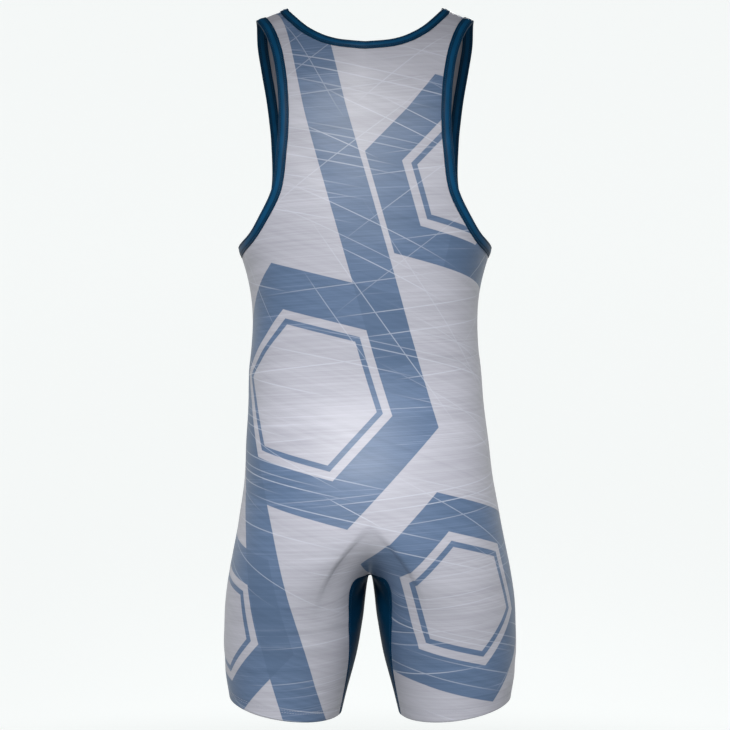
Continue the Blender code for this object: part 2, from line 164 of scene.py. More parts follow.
# A point of a panel, with its place on the cut cloth: across from the centre, and up
Spot = namedtuple("Spot", "point across up")


def mix(a, b, share):
    """Value or point between two others."""
    return a + (b - a) * share


def smooth_step(share):
    """Soft rise from 0 to 1."""
    share = min(1.0, max(0.0, share))
    return share * share * (3 - 2 * share)


def smooth_curve(stops, values, at):
    """Smooth curve through values at their stops, with falling or rising stops."""
    sign = 1 if stops[-1] > stops[0] else -1
    at = min(max(sign * at, sign * stops[0]), sign * stops[-1]) * sign
    last = len(stops) - 2
    span = next((i for i in range(last) if sign * at <= sign * stops[i + 1]), last)

    def slope(i):
        low = max(i - 1, 0)
        high = min(i + 1, last + 1)
        return (values[high] - values[low]) / (stops[high] - stops[low])

    width = stops[span + 1] - stops[span]
    t = (at - stops[span]) / width
    start = (t - 2 * t * t + t ** 3) * width
    end = (t ** 3 - t * t) * width
    value = mix(values[span], values[span + 1], smooth_step(t))
    return value + slope(span) * start + slope(span + 1) * end


def from_table(table, level, column):
    """Named column of a table of sections, read smoothly at a level."""
    levels = [row.level for row in table]
    return smooth_curve(levels, [getattr(row, column) for row in table], level)


def find(function, target, low, high):
    """Where a steadily rising function reaches its target."""
    for _ in range(HALVINGS):
        middle = (low + high) / 2
        if function(middle) < target:
            low = middle
        else:
            high = middle
    return (low + high) / 2


def oval(angle):
    """Slightly squared oval: sideways and forward shares of the half width and depth."""
    wide = (math.sin(angle) + SQUARENESS * math.sin(3 * angle)) / (1 - SQUARENESS)
    deep = (math.cos(angle) - SQUARENESS * math.cos(3 * angle)) / (1 - SQUARENESS)
    return wide, deep


def height(x, level):
    """Real height of a torso level, which falls towards the arm near the shoulder."""
    fall = SHOULDER_FALL * smooth_step(1 - level / FALL_ENDS)
    return CAD_WALL + level + fall * (STRAP_MIDDLE - x)


def level_at(turn):
    """The torso level that a turn reaches."""
    if turn < 1:
        return -ARCH_HEIGHT * (1 - math.sin((1 - turn) * math.pi / 2))
    return -ARCH_HEIGHT * (1 + (turn - 1) * math.pi / 2)


def turn_at(level):
    """The turn at which the torso reaches a level."""
    if level > -ARCH_HEIGHT:
        return 1 - math.asin(min(1.0, 1 + level / ARCH_HEIGHT)) * 2 / math.pi
    return 1 + (-level / ARCH_HEIGHT - 1) * 2 / math.pi


def torso(angle, turn):
    """Outer face of the torso. Angle 0 is the centre back and pi the centre front.

    Turn runs over the shoulder from 0, on the shoulder line, to 1, and on down the body.
    """
    level = level_at(turn)
    fullness = math.sin(min(turn, 1.0) * math.pi / 2)
    wide, deep = oval(angle)
    x = from_table(TORSO, level, "half_width") * wide
    depth = from_table(TORSO, level, "back" if deep > 0 else "front") * fullness
    return Vector((x, depth * deep, height(x, level)))


def place(x, z, front):
    """Angle and turn of the torso point seen at x, z from the front or the back."""
    level = find(lambda value: height(x, value), z, DEEPEST_PLACE, 0.0)
    share = x / from_table(TORSO, level, "half_width")
    angle = find(lambda value: oval(value)[0], share, 0.0, math.pi / 2)
    return (math.pi - angle if front else angle), turn_at(level)


def normal_at(at):
    """Outward direction of the torso at an angle and turn, and its two slopes."""
    angle, turn = at
    across = (torso(angle + SMALL_TURN, turn) - torso(angle - SMALL_TURN, turn)) / (2 * SMALL_TURN)
    back = min(SMALL_TURN, turn)
    down = (torso(angle, turn + SMALL_TURN) - torso(angle, turn - back)) / (SMALL_TURN + back)
    return across.cross(down).normalized(), across, down


def walk(at, direction, distance):
    """Angle and turn reached by walking a distance over the torso."""
    for _ in range(WALK_STEPS):
        normal, across, down = normal_at(at)
        flat = direction - normal * direction.dot(normal)
        step = flat.normalized() * distance / WALK_STEPS
        aa, ad, dd = across.dot(across), across.dot(down), down.dot(down)
        sa, sd = step.dot(across), step.dot(down)
        scale = aa * dd - ad * ad
        at = (at[0] + (sa * dd - sd * ad) / scale, at[1] + (sd * aa - sa * ad) / scale)
    return at


def graded(count, fine):
    """Shares from 0 to 1 that are finer beside 0."""
    shares = [0.0, *fine]
    return shares + [mix(fine[-1], 1.0, (k + 1) / count) for k in range(count)]


def turned(shares):
    """The same shares counted from the other end."""
    return [1 - share for share in reversed(shares)]


def stations(edge, steps, front):
    """Evenly spaced places along a finished edge, closer together at the shoulder seam."""
    stops = list(range(len(edge)))
    xs = [point.x for point in edge]
    zs = [point.z for point in edge]
    places = []
    for i in range(EDGE_SAMPLES + 1):
        at = i * stops[-1] / EDGE_SAMPLES
        places.append(place(smooth_curve(stops, xs, at), smooth_curve(stops, zs, at), front))
    points = [torso(*at) for at in places]
    lengths = [0.0]
    for a, b in zip(points, points[1:]):
        lengths.append(lengths[-1] + (b - a).length)
    found = []
    last = EDGE_SAMPLES - 1
    for station in turned(graded(steps, SHOULDER_FINE)):
        goal = lengths[-1] * station
        i = next((n for n in range(last) if lengths[n + 1] >= goal), last)
        share = (goal - lengths[i]) / (lengths[i + 1] - lengths[i])
        found.append(tuple(mix(a, b, share) for a, b in zip(places[i], places[i + 1])))
    start = math.pi / 2 if edge[0].x > 0 else (math.pi if front else 0.0)
    found[0] = (start, found[0][1])
    found[-1] = (found[-1][0], 0.0)
    return found


def inner_line(edge, width, start_along, front, towards_arm):
    """Places a binding's width in from each station of an edge."""
    points = [torso(*at) for at in edge]
    inner = []
    for k, at in enumerate(edge):
        if k == 0:
            along = Vector(start_along)
        elif k == len(edge) - 1:
            along = Vector((0, -1 if front else 1, 0))
        else:
            along = points[k - 1] - points[k + 1]
        inwards = normal_at(at)[0].cross(along)
        flip = 1 if front == towards_arm else -1
        inner.append(walk(at, inwards * flip, width))
    inner[0] = (edge[0][0], inner[0][1])
    inner[-1] = (inner[-1][0], 0.0)
    return inner


def arc_out(angle, turn, front):
    """Length round the torso from its centre line to an angle, at one turn."""
    centre = math.pi if front else 0.0
    points = [torso(mix(centre, angle, i / ARC_STEPS), turn) for i in range(ARC_STEPS + 1)]
    return sum((b - a).length for a, b in zip(points, points[1:]))


def height_on_cloth(turn, x):
    """Height of a torso point on the cut cloth, where the shoulder's arch lies flat."""
    level = level_at(turn)
    if turn >= 1:
        return height(x, level)
    arch = math.pi / 2 * (ARCH_HEIGHT + from_table(TORSO, -ARCH_HEIGHT, "back")) / 2
    return height(x, level) - level + arch * (1 - turn) - ARCH_HEIGHT


def torso_spots(places, front):
    """Points of one torso row, with their places on the cut cloth."""
    spots = []
    for at in places:
        point = torso(*at)
        spots.append(Spot(point, arc_out(*at, front), height_on_cloth(at[1], point.x)))
    return spots


def between(first, last, shares):
    """Places from one to another, at some shares of the way."""
    return [tuple(mix(a, b, share) for a, b in zip(first, last)) for share in shares]


def torso_rows(neck, armhole, neck_steps, front):
    """Rows from the underarm up to the shoulder line, and from the underarm down to the seat.

    The first rows start at the centre line and the rest at the neck.
    """
    down_the_side = (0, 1 if front else -1, 0)
    necks = stations(neck, neck_steps, front)
    arms = stations(armhole, ARMHOLE_STEPS, front)
    neck_line = inner_line(necks, NECK_BINDING, (-1, 0, 0), front, True)
    arm_line = inner_line(arms, ARMHOLE_BINDING, down_the_side, front, False)
    centre = math.pi if front else 0.0
    body_steps = len(arms) - len(necks)
    low = turn_at(UNDERARM_CENTRE)
    seat = turn_at(SEAT_LEVEL)
    columns = turned(graded(PANEL_COLUMNS, PANEL_FINE))
    bound = [k / BINDING_COLUMNS for k in range(BINDING_COLUMNS + 1)]
    upper = []
    for k in range(len(arms)):
        fan = k - body_steps
        places = []
        first = (centre, mix(low, neck_line[0][1], k / body_steps))
        if fan >= 0:
            first = neck_line[fan]
            places = between(necks[fan], first, bound)[:-1]
        places += between(first, arm_line[k], columns)
        places += between(arm_line[k], arms[k], bound)[1:]
        upper.append(torso_spots(places, front))
    lower = []
    for k in range(TORSO_ROWS + 1):
        first = (centre, mix(low, seat, k / TORSO_ROWS))
        last = (math.pi / 2, mix(arm_line[0][1], seat, k / TORSO_ROWS))
        lower.append(torso_spots(between(first, last, columns), front))
    return upper, lower, body_steps


def leg(angle, level):
    """Outer face of a leg. Angle 0 is the outer side and pi the inner side, behind or before."""
    wide = math.cos(angle) * from_table(LEGS, level, "half_width")
    depth = from_table(LEGS, level, "back" if angle > 0 else "front")
    tilt = math.radians(from_table(LEGS, level, "tilt"))
    x = from_table(LEGS, level, "middle") + wide * math.cos(tilt)
    drop = HEM_DROP_BEHIND * (level - THIGH_LEVEL) / (HEM_LEVEL - THIGH_LEVEL) * math.sin(angle)
    return Vector((x, math.sin(angle) * depth, level + wide * math.sin(tilt) - drop))


def leg_stops():
    """Columns of a leg, from side seam 0 to corner 1, gusset seam 2 and inside 3."""
    panel = graded(PANEL_COLUMNS, PANEL_FINE)
    panel += [1 + share for share in turned(graded(CROTCH_COLUMNS, CROTCH_FINE))[1:]]
    return panel, [2 + share for share in graded(GUSSET_COLUMNS, GUSSET_FINE)]


def moved(stop, run):
    """Column that a stop stands for, with the gusset's seam where its arch has it.

    Run is 0 at the centre line, 1 at the thigh and 2 at the hem.
    """
    seam = smooth_curve([at.run for at in GUSSET_ARCH], [at.stop for at in GUSSET_ARCH], run)
    if stop <= 1:
        return stop
    return mix(1, seam, stop - 1) if stop <= 2 else mix(seam, 3, stop - 2)


def leg_column(stop, level, front):
    """Leg point of a column."""
    gusset = math.radians(from_table(LEGS, level, "gusset_angle"))
    panel = math.pi - gusset
    if stop <= 1:
        angle = panel * CORNER_SHARE * stop
    elif stop <= 2:
        angle = panel * mix(CORNER_SHARE, 1.0, stop - 1)
    else:
        angle = panel + gusset * (stop - 2)
    return leg(-angle if front else angle, level)


def crotch(stop, front):
    """Point of the centre line under the body, from the seat in to the middle of the gusset."""
    depth = from_table(TORSO, SEAT_LEVEL, "front" if front else "back")
    if stop <= 2:
        angle = math.acos(GUSSET_NECK / depth) * (stop - 1)
    else:
        angle = math.acos(GUSSET_NECK / depth * (3 - stop))
    drop = (SEAT_LEVEL - CROTCH_LEVEL) * math.sin(angle)
    side = -1 if front else 1
    return Vector((0, side * depth * math.cos(angle), height(0, SEAT_LEVEL) - drop))


def seat_point(stop, share, front):
    """Point between the seat and the thigh, on a curve that leaves both of them smoothly."""
    sideways = Vector((1, 0, 0))
    end = leg_column(stop, THIGH_LEVEL, front)
    if stop <= 1:
        side = 1 if front else -1
        angle = math.pi / 2 * (1 + side * stop)
        start = torso(angle, turn_at(SEAT_LEVEL))
        above = torso(angle, turn_at(SEAT_LEVEL + SMALL_DROP))
        leaning = max(0.0, 1 - (1 - stop) / CORNER_REACH)
        leave = ((start - above).normalized() + sideways * leaning ** 2).normalized()
        pull = (end - start).length
    else:
        start = crotch(stop, front)
        into = max(0.0, 2 - stop)
        ahead = (start - crotch(stop - SMALL_SHARE, front)).normalized()
        leave = (sideways + ahead * into ** 2).normalized()
        pull = mix(CROTCH_TURN, (end - start).length, into)
    arrive = (leg_column(stop, THIGH_LEVEL - SMALL_DROP, front) - end).normalized()
    leaving = share - 2 * share ** 2 + share ** 3
    arriving = share ** 3 - share ** 2
    bend = leave * pull * leaving + arrive * (end - start).length * arriving
    return mix(start, end, smooth_step(share)) + bend


def leg_spots(points, corner, wrap):
    """A leg row's places on the cut cloth: it lies flat outwards from its corner column.

    Wrap is how far the row still runs down the centre line beyond that column.
    """
    spots = [None] * len(points)
    across = points[corner].x
    for c in range(corner, -1, -1):
        if c < corner:
            across += math.hypot(*(points[c] - points[c + 1]).xy)
        spots[c] = Spot(points[c], across, points[c].z)
    run = 0.0
    for c in range(corner + 1, len(points)):
        run += (points[c] - points[c - 1]).length
        up = mix(points[c].z, points[corner].z - run, wrap)
        spots[c] = Spot(points[c], points[c].x, up)
    return spots


def leg_rows(stops, front):
    """Rows of some leg columns, from the seat to the hem."""
    corner = stops.index(1.0) if 1.0 in stops else 0
    rows = []
    for k in range(SEAT_ROWS):
        run = k / SEAT_ROWS
        points = [seat_point(moved(stop, run), run, front) for stop in stops]
        rows.append(leg_spots(points, corner, 1 - smooth_step(run)))
    hem_line = HEM_LEVEL + HEM_DEPTH
    levels = [mix(THIGH_LEVEL, hem_line + HEM_STEP, k / LEG_ROWS) for k in range(LEG_ROWS + 1)]
    levels.append(hem_line)
    for k in range(HEM_ROWS + 1):
        levels.append(mix(hem_line - HEM_STEP, HEM_LEVEL, k / HEM_ROWS))
    for level in levels:
        run = 1 + (level - THIGH_LEVEL) / (HEM_LEVEL - THIGH_LEVEL)
        points = [leg_column(moved(stop, run), level, front) for stop in stops]
        rows.append(leg_spots(points, corner, 0.0))
    return rows


def lean(point):
    """The form's slight sideways lean below the waist."""
    share = smooth_step((point.z - LEAN_STARTS) / (LEAN_ENDS - LEAN_STARTS))
    return Vector((point.x + LEAN * share, point.y, point.z))


def on_side(spot, side):
    """A left-hand spot on its own side or mirrored, leaned."""
    flat = Vector((side * spot.point.x, spot.point.y, spot.point.z))
    return Spot(lean(flat), side * spot.across, spot.up)


def key(point):
    """Place of a point to a hundredth of a millimetre, to find it again."""
    return tuple(round(value * 1e5) for value in point)


def quads_between(rows):
    """Quads of spots between rows that are lined up at their last points."""
    quads = []
    for upper, lower in zip(rows, rows[1:]):
        count = min(len(upper), len(lower))
        upper = upper[-count:]
        lower = lower[-count:]
        for c in range(count - 1):
            quads.append((upper[c], upper[c + 1], lower[c + 1], lower[c]))
    return quads


def whole(quads):
    """One side's faces and their mirror image."""
    both = [[on_side(spot, 1) for spot in quad] for quad in quads]
    return both + [[on_side(spot, -1) for spot in reversed(quad)] for quad in quads]


def chain(spots):
    """Keys of a line of left-hand spots, on the left and on the right."""
    left = [key(on_side(spot, 1).point) for spot in spots]
    right = [key(on_side(spot, -1).point) for spot in spots]
    return left, right


class Panel:
    """A cut panel's rows, and the lines on it that seams, hems and bindings follow."""

    def __init__(self, front):
        table = (FRONT_NECK, FRONT_ARMHOLE, FRONT_NECK_STEPS)
        if not front:
            table = (BACK_NECK, BACK_ARMHOLE, BACK_NECK_STEPS)
        upper, lower, body_steps = torso_rows(*table, front)
        legs = leg_rows(leg_stops()[0], front)
        quads = quads_between(upper[::-1]) + quads_between(lower)
        self.quads = whole(quads + quads_between([row[::-1] for row in legs]))
        bound = BINDING_COLUMNS
        self.neck = [row[:bound + 1] for row in upper[body_steps:]]
        self.armhole = [row[:-bound - 2:-1] for row in upper]
        self.hem = legs[-1]
        self.hem_rows = [legs[at] for at in HEM_LINES]
        self.thick = legs[-1 - HEM_ROWS:]
        self.side = [row[-1] for row in lower] + [row[0] for row in legs[1:]]
        self.side_row = [row[-1 - BESIDE] for row in lower] + [row[BESIDE] for row in legs[1:]]
        self.gusset = [row[-1] for row in legs]
        self.gusset_row = [row[-1 - BESIDE] for row in legs]
        self.shoulder = upper[-1][bound:-bound]
        self.shoulder_row = upper[-1 - BESIDE][bound:-bound]


# Shape of the cloth once it is worn: creases, seams and a faint unevenness

# A soft trough on the torso, from one angle and level to another: side 1 is the wearer's left
Crease = namedtuple("Crease", "side angle level to_angle to_level depth width")
TORSO_CREASES = [Crease(*row) for row in (
    (1, 12, -0.352, 66, -0.372, 0.0008, 0.010), (-1, 8, -0.360, 58, -0.383, 0.0009, 0.011),
    (1, 20, -0.392, 74, -0.401, 0.0006, 0.009), (-1, 26, -0.402, 80, -0.396, 0.0007, 0.010),
    (1, 82, -0.282, 44, -0.243, 0.0009, 0.010), (-1, 80, -0.287, 38, -0.256, 0.0008, 0.011),
    (1, 84, -0.300, 52, -0.287, 0.0006, 0.008), (-1, 86, -0.309, 58, -0.302, 0.0007, 0.009),
    (1, 30, -0.150, 12, -0.205, 0.0005, 0.012), (-1, 34, -0.128, 18, -0.190, 0.0006, 0.012),
    (1, 14, -0.520, 62, -0.548, 0.0006, 0.012), (-1, 20, -0.534, 70, -0.560, 0.0006, 0.012),
    (1, 98, -0.286, 130, -0.238, 0.0010, 0.011), (-1, 100, -0.291, 134, -0.250, 0.0009, 0.010),
    (1, 96, -0.305, 128, -0.290, 0.0007, 0.009), (-1, 97, -0.317, 124, -0.305, 0.0006, 0.009),
    (1, 168, -0.384, 112, -0.398, 0.0008, 0.011), (-1, 172, -0.396, 118, -0.410, 0.0007, 0.011),
    (1, 160, -0.420, 108, -0.424, 0.0006, 0.010), (-1, 164, -0.432, 104, -0.438, 0.0006, 0.010),
    (1, 172, -0.566, 118, -0.512, 0.0010, 0.011), (-1, 170, -0.562, 114, -0.520, 0.0011, 0.011),
    (1, 165, -0.548, 130, -0.490, 0.0006, 0.010), (-1, 168, -0.542, 134, -0.484, 0.0007, 0.010),
)]
# The same on a leg, where angle 0 is the outer side, and above 0 is behind
LEG_CREASES = [Crease(*row) for row in (
    (1, 148, -0.694, 74, -0.702, 0.0009, 0.010), (-1, 144, -0.697, 66, -0.709, 0.0008, 0.011),
    (1, 128, -0.716, 52, -0.722, 0.0006, 0.009), (-1, 136, -0.722, 60, -0.731, 0.0006, 0.009),
    (1, -150, -0.700, -70, -0.694, 0.0009, 0.011), (-1, -146, -0.703, -62, -0.698, 0.0009, 0.010),
    (1, -130, -0.728, -48, -0.720, 0.0006, 0.009), (-1, -138, -0.733, -56, -0.724, 0.0007, 0.009),
    (1, 40, -0.745, -32, -0.738, 0.0005, 0.010), (-1, 34, -0.750, -40, -0.742, 0.0005, 0.010),
)]
CREASE_STEPS = 12
TROUGH_SHARE = 1.5
RIDGE_SHARE = 0.8
RIDGE_SPREAD = 2.2
SEAM_DEPTH = 0.00030
SEAM_WIDTH = 0.0014
HEM_SEAM_DEPTH = 0.00012
UNEVENNESS = ((16.0, 0.00045), (47.0, 0.00012))


def open_mesh(quads, positions):
    """Open surface of quads that share their corners, and its vertices by key."""
    mesh = bmesh.new()
    corners = {}
    for quad in quads:
        for spot in quad:
            name = key(spot.point)
            if name not in corners:
                corners[name] = mesh.verts.new(positions.get(name, spot.point))
        mesh.faces.new([corners[key(spot.point)] for spot in quad])
    mesh.normal_update()
    return mesh, corners


def turn_faces(mesh, outwards):
    """Turns all faces the way that the outermost one has to face."""
    bmesh.ops.recalc_face_normals(mesh, faces=mesh.faces)
    mesh.normal_update()
    face = max(mesh.faces, key=lambda one: one.calc_center_median().x)
    if face.normal.dot(outwards(face)) < 0:
        bmesh.ops.reverse_faces(mesh, faces=mesh.faces)
        mesh.normal_update()


def crease_line(crease, on_leg):
    """Points of a crease on the form."""
    points = []
    for k in range(CREASE_STEPS + 1):
        share = k / CREASE_STEPS
        angle = math.radians(mix(crease.angle, crease.to_angle, share))
        level = mix(crease.level, crease.to_level, share)
        point = leg(angle, level) if on_leg else torso(angle, turn_at(level))
        points.append(lean(Vector((crease.side * point.x, point.y, point.z))))
    return numpy.array(points)


def crease_depth(points, line, depth, width):
    """How far a crease moves each point: a soft trough between low ridges, faded at its ends."""
    nearest = numpy.full(len(points), numpy.inf)
    along = numpy.zeros(len(points))
    for k in range(len(line) - 1):
        step = line[k + 1] - line[k]
        share = numpy.clip((points - line[k]) @ step / (step @ step), 0, 1)
        gap = numpy.linalg.norm(points - line[k] - share[:, None] * step, axis=1)
        closer = gap < nearest
        nearest[closer] = gap[closer]
        along[closer] = (k + share[closer]) / (len(line) - 1)
    fade = numpy.sqrt(4 * along * (1 - along))
    trough = numpy.exp(-(nearest / width) ** 2)
    ridge = numpy.exp(-(nearest / (RIDGE_SPREAD * width)) ** 2)
    return -depth * fade * (TROUGH_SHARE * trough - RIDGE_SHARE * ridge)


def seam_groove(points, seams, depth):
    """How far the pull of its stitches sinks each point near a seam."""
    line = numpy.array(seams)
    groove = numpy.zeros(len(points))
    for start in range(0, len(points), GROOVE_BLOCK):
        block = points[start:start + GROOVE_BLOCK]
        gaps = numpy.linalg.norm(block[:, None, :] - line[None, :, :], axis=2).min(axis=1)
        groove[start:start + GROOVE_BLOCK] = -depth * numpy.exp(-(gaps / SEAM_WIDTH) ** 2)
    return groove


class Form:
    """The worn form: where each point of the cloth lies, and which way is out there."""

    def __init__(self, quads, seams, hem_seams):
        mesh, corners = open_mesh(quads, {})
        turn_faces(mesh, lambda face: Vector((1, 0, 0)))
        points = numpy.array([vert.co[:] for vert in corners.values()])
        move = numpy.zeros(len(points))
        for creases, on_leg in ((TORSO_CREASES, False), (LEG_CREASES, True)):
            for crease in creases:
                line = crease_line(crease, on_leg)
                move += crease_depth(points, line, crease.depth, crease.width)
        move += seam_groove(points, seams, SEAM_DEPTH)
        move += seam_groove(points, hem_seams, HEM_SEAM_DEPTH)
        for fineness, depth in UNEVENNESS:
            move += [depth * noise.noise(Vector(point) * fineness) for point in points]
        for vert, distance in zip(corners.values(), move):
            vert.co += vert.normal * float(distance)
        mesh.normal_update()
        self.at = {name: vert.co.copy() for name, vert in corners.items()}
        self.out = {name: vert.normal.copy() for name, vert in corners.items()}
        mesh.free()

    def line(self, keys):
        """Points of a line of keys, and the ways out there."""
        return [self.at[name] for name in keys], [self.out[name] for name in keys]


# Panels, bindings and stitches as meshes

def put(name, data):
    """New object in the scene."""
    made = bpy.data.objects.new(name, data)
    bpy.context.scene.collection.objects.link(made)
    return made


def finished_mesh(name, mesh, materials, places):
    """Object from a mesh, with its places on the cut cloth as its UV map."""
    layer = mesh.loops.layers.uv.new("cut_cloth")
    for face in mesh.faces:
        face.smooth = True
        for loop in face.loops:
            loop[layer].uv = places[loop.vert]
    mesh.verts.index_update()
    data = bpy.data.meshes.new(name)
    mesh.to_mesh(data)
    mesh.free()
    for material in materials:
        data.materials.append(material)
    return put(name, data)


def edge_pull(vert, kind_of, distances):
    """How far a border point moves into its piece, so that both its border edges do."""
    wanted = []
    for edge in vert.link_edges:
        if edge.is_boundary:
            face = edge.link_faces[0]
            along = edge.verts[1].co - edge.verts[0].co
            inwards = face.normal.cross(along).normalized()
            if inwards.dot(face.calc_center_median() - edge.verts[0].co) < 0:
                inwards = -inwards
            wanted.append((inwards, distances[kind_of(edge)]))
    (one, first), (two, second) = wanted
    turn = one.dot(two)
    if turn > NEARLY_STRAIGHT:
        return (one + two).normalized() * max(first, second)
    scale = 1 - turn * turn
    return one * ((first - turn * second) / scale) + two * ((second - turn * first) / scale)


def cloth_piece(name, quads, form, bound, hem, thick, materials):
    """Closed cloth shell with rounded edges; the hem has two layers."""
    mesh, corners = open_mesh(quads, form.at)
    names = {vert: found for found, vert in corners.items()}
    turn_faces(mesh, lambda face: form.out[names[face.verts[0]]])
    cloth_places = {}
    for quad in quads:
        for spot in quad:
            cloth_places[key(spot.point)] = (spot.across, spot.up)

    def kind_of(edge):
        ends = [names[vert] for vert in edge.verts]
        if all(end in hem for end in ends):
            return "hem"
        return "bound" if all(end in bound for end in ends) else "seam"

    distances = {"hem": CLOTH, "bound": BOUND_PULL, "seam": CLOTH / 2 + SEAM_PULL}
    solid = bmesh.new()
    outer, middle, inner, places = {}, {}, {}, {}
    for vert in mesh.verts:
        found = names[vert]
        layers = 2 if found in thick else 1
        pull = edge_pull(vert, kind_of, distances) if vert.is_boundary else Vector((0, 0, 0))
        top = vert.co + pull
        down = form.out[found] * CLOTH * layers
        outer[vert] = solid.verts.new(top)
        inner[vert] = solid.verts.new(top - down)
        made = [outer[vert], inner[vert]]
        if vert.is_boundary:
            bulge = pull.normalized() * CLOTH * layers / 2
            middle[vert] = solid.verts.new(top - down / 2 - bulge)
            made.append(middle[vert])
        for one in made:
            places[one] = cloth_places[found]
    for face in mesh.faces:
        solid.faces.new([outer[vert] for vert in face.verts])
        inside = solid.faces.new([inner[vert] for vert in reversed(face.verts)])
        inside.material_index = 0 if all(names[vert] in thick for vert in face.verts) else 1
    for edge in mesh.edges:
        if edge.is_boundary:
            loop = edge.link_loops[0]
            a, b = loop.vert, loop.link_loop_next.vert
            solid.faces.new((outer[b], outer[a], middle[a], middle[b]))
            solid.faces.new((middle[b], middle[a], inner[a], inner[b]))
    mesh.free()
    return finished_mesh(name, solid, materials, places)


# A binding's section: its edge, its two stitch lines and their grooves, the crown and the fold
EDGE_ROUND = 0.0004
EDGE_DROP = 0.0001
BINDING_ROWS = (0.0022, 0.0026)
BINDING_GROOVE = 0.00028
GROOVE_REACH = 0.0008
BINDING_CROWN = 0.00035
CROWN_SHAPE = ((0.3, 0.8), (0.5, 1.0), (0.7, 0.8))
FOLD_STEPS = 8
LINING_BULGE = 0.7


def binding_profile(width):
    """A binding's section: depth in from its inner line, and height over the cloth's middle."""
    top = CLOTH / 2 + BINDING_LIFT + BINDING_SKIN
    fold = width - top
    first, second = BINDING_ROWS[0], fold - BINDING_ROWS[1] + top
    inside = CLOTH / 2 + BINDING_LIFT
    edge = [(0.0, inside), (0.0, top - EDGE_ROUND), (EDGE_ROUND, top - EDGE_DROP)]
    grooves = [
        [(row - GROOVE_REACH, top), (row, top - BINDING_GROOVE), (row + GROOVE_REACH, top)]
        for row in (first, second)]
    crown = [(mix(first, second, share), top + part * BINDING_CROWN) for share, part in CROWN_SHAPE]
    upper = edge + grooves[0] + crown + grooves[1]
    turns = [math.pi * (0.5 - k / FOLD_STEPS) for k in range(FOLD_STEPS + 1)]
    round_fold = [(fold + top * math.cos(turn), top * math.sin(turn)) for turn in turns]
    lower = [(depth, -high) for depth, high in reversed(upper)]
    lining = [(fold, -inside), (fold + inside * LINING_BULGE, 0.0), (fold, inside)]
    return upper + round_fold + lower + lining, first, second


def along_loop(loop, form, depth, width, height_over_middle):
    """Line that runs round a binding at a depth from its inner line and a height."""
    points, outs = [], []
    share = 1 - min(1.0, depth / width)
    for line in loop:
        at = share * (len(line) - 1)
        low = min(int(at), len(line) - 2)
        a, b = line[low], line[low + 1]
        out = mix(form.out[a], form.out[b], at - low).normalized()
        middle = mix(form.at[a], form.at[b], at - low) - out * CLOTH / 2
        points.append(middle + out * height_over_middle)
        outs.append(out if height_over_middle > 0 else -out)
    return points, outs


def binding_piece(name, loop, form, width, materials):
    """Folded strip round an opening, with its inner line in loop's last keys."""
    profile, first, second = binding_profile(width)
    rings = [along_loop(loop, form, depth, width, over)[0] for depth, over in profile]
    solid = bmesh.new()
    verts = [[solid.verts.new(point) for point in ring] for ring in rings]
    lengths = [0.0]
    for a, b in zip(rings[0], rings[0][1:]):
        lengths.append(lengths[-1] + (b - a).length)
    places = {}
    for (depth, _), ring in zip(profile, verts):
        for i, vert in enumerate(ring):
            places[vert] = (lengths[i], depth / width)
    count = len(loop)
    for k, ring in enumerate(verts):
        beyond = verts[(k + 1) % len(verts)]
        for i in range(count):
            j = (i + 1) % count
            solid.faces.new((ring[i], ring[j], beyond[j], beyond[i]))
    bmesh.ops.recalc_face_normals(solid, faces=solid.faces)
    made = finished_mesh(name, solid, materials, places)
    top = CLOTH / 2 + BINDING_LIFT + BINDING_SKIN - BINDING_GROOVE
    rows = []
    for depth in (first, second):
        for over in (top, -top):
            rows.append(along_loop(loop, form, depth, width, over))
    return made, rows


# Stitches: how far apart they are, and the length and radius of each thread
Stitch = namedtuple("Stitch", "pitch length radius")
SEAM_STITCH = Stitch(0.0026, 0.0022, 0.000176)
CROSSING = Stitch(0.0017, 0.0034, 0.000132)
HEM_STITCH = Stitch(0.0030, 0.0023, 0.000198)
BINDING_STITCH = Stitch(0.0027, 0.0021, 0.000220)
STITCH_UNEVENNESS = 0.12
THREAD_LIFT = 0.4


def evenly(points, outs, pitch, closed):
    """Evenly spaced places along a line: each point, the way along and the way out."""
    if closed:
        points = points + points[:1]
        outs = outs + outs[:1]
    lengths = [0.0]
    for a, b in zip(points, points[1:]):
        lengths.append(lengths[-1] + (b - a).length)
    count = max(1, round(lengths[-1] / pitch))
    found = []
    i = 0
    for k in range(count):
        goal = lengths[-1] * (k + 0.5) / count
        while lengths[i + 1] < goal:
            i += 1
        share = (goal - lengths[i]) / (lengths[i + 1] - lengths[i])
        here = mix(points[i], points[i + 1], share)
        along = (points[i + 1] - points[i]).normalized()
        found.append((here, along, mix(outs[i], outs[i + 1], share)))
    return found


def across_seam(one, other, pitch):
    """Places of the threads that cross a seam, each from one row of stitches to the other."""
    found = []
    for a, b in zip(evenly(*one, pitch, False), evenly(*other, pitch, False)):
        found.append(((a[0] + b[0]) / 2, (b[0] - a[0]).normalized(), (a[2] + b[2]).normalized()))
    return found


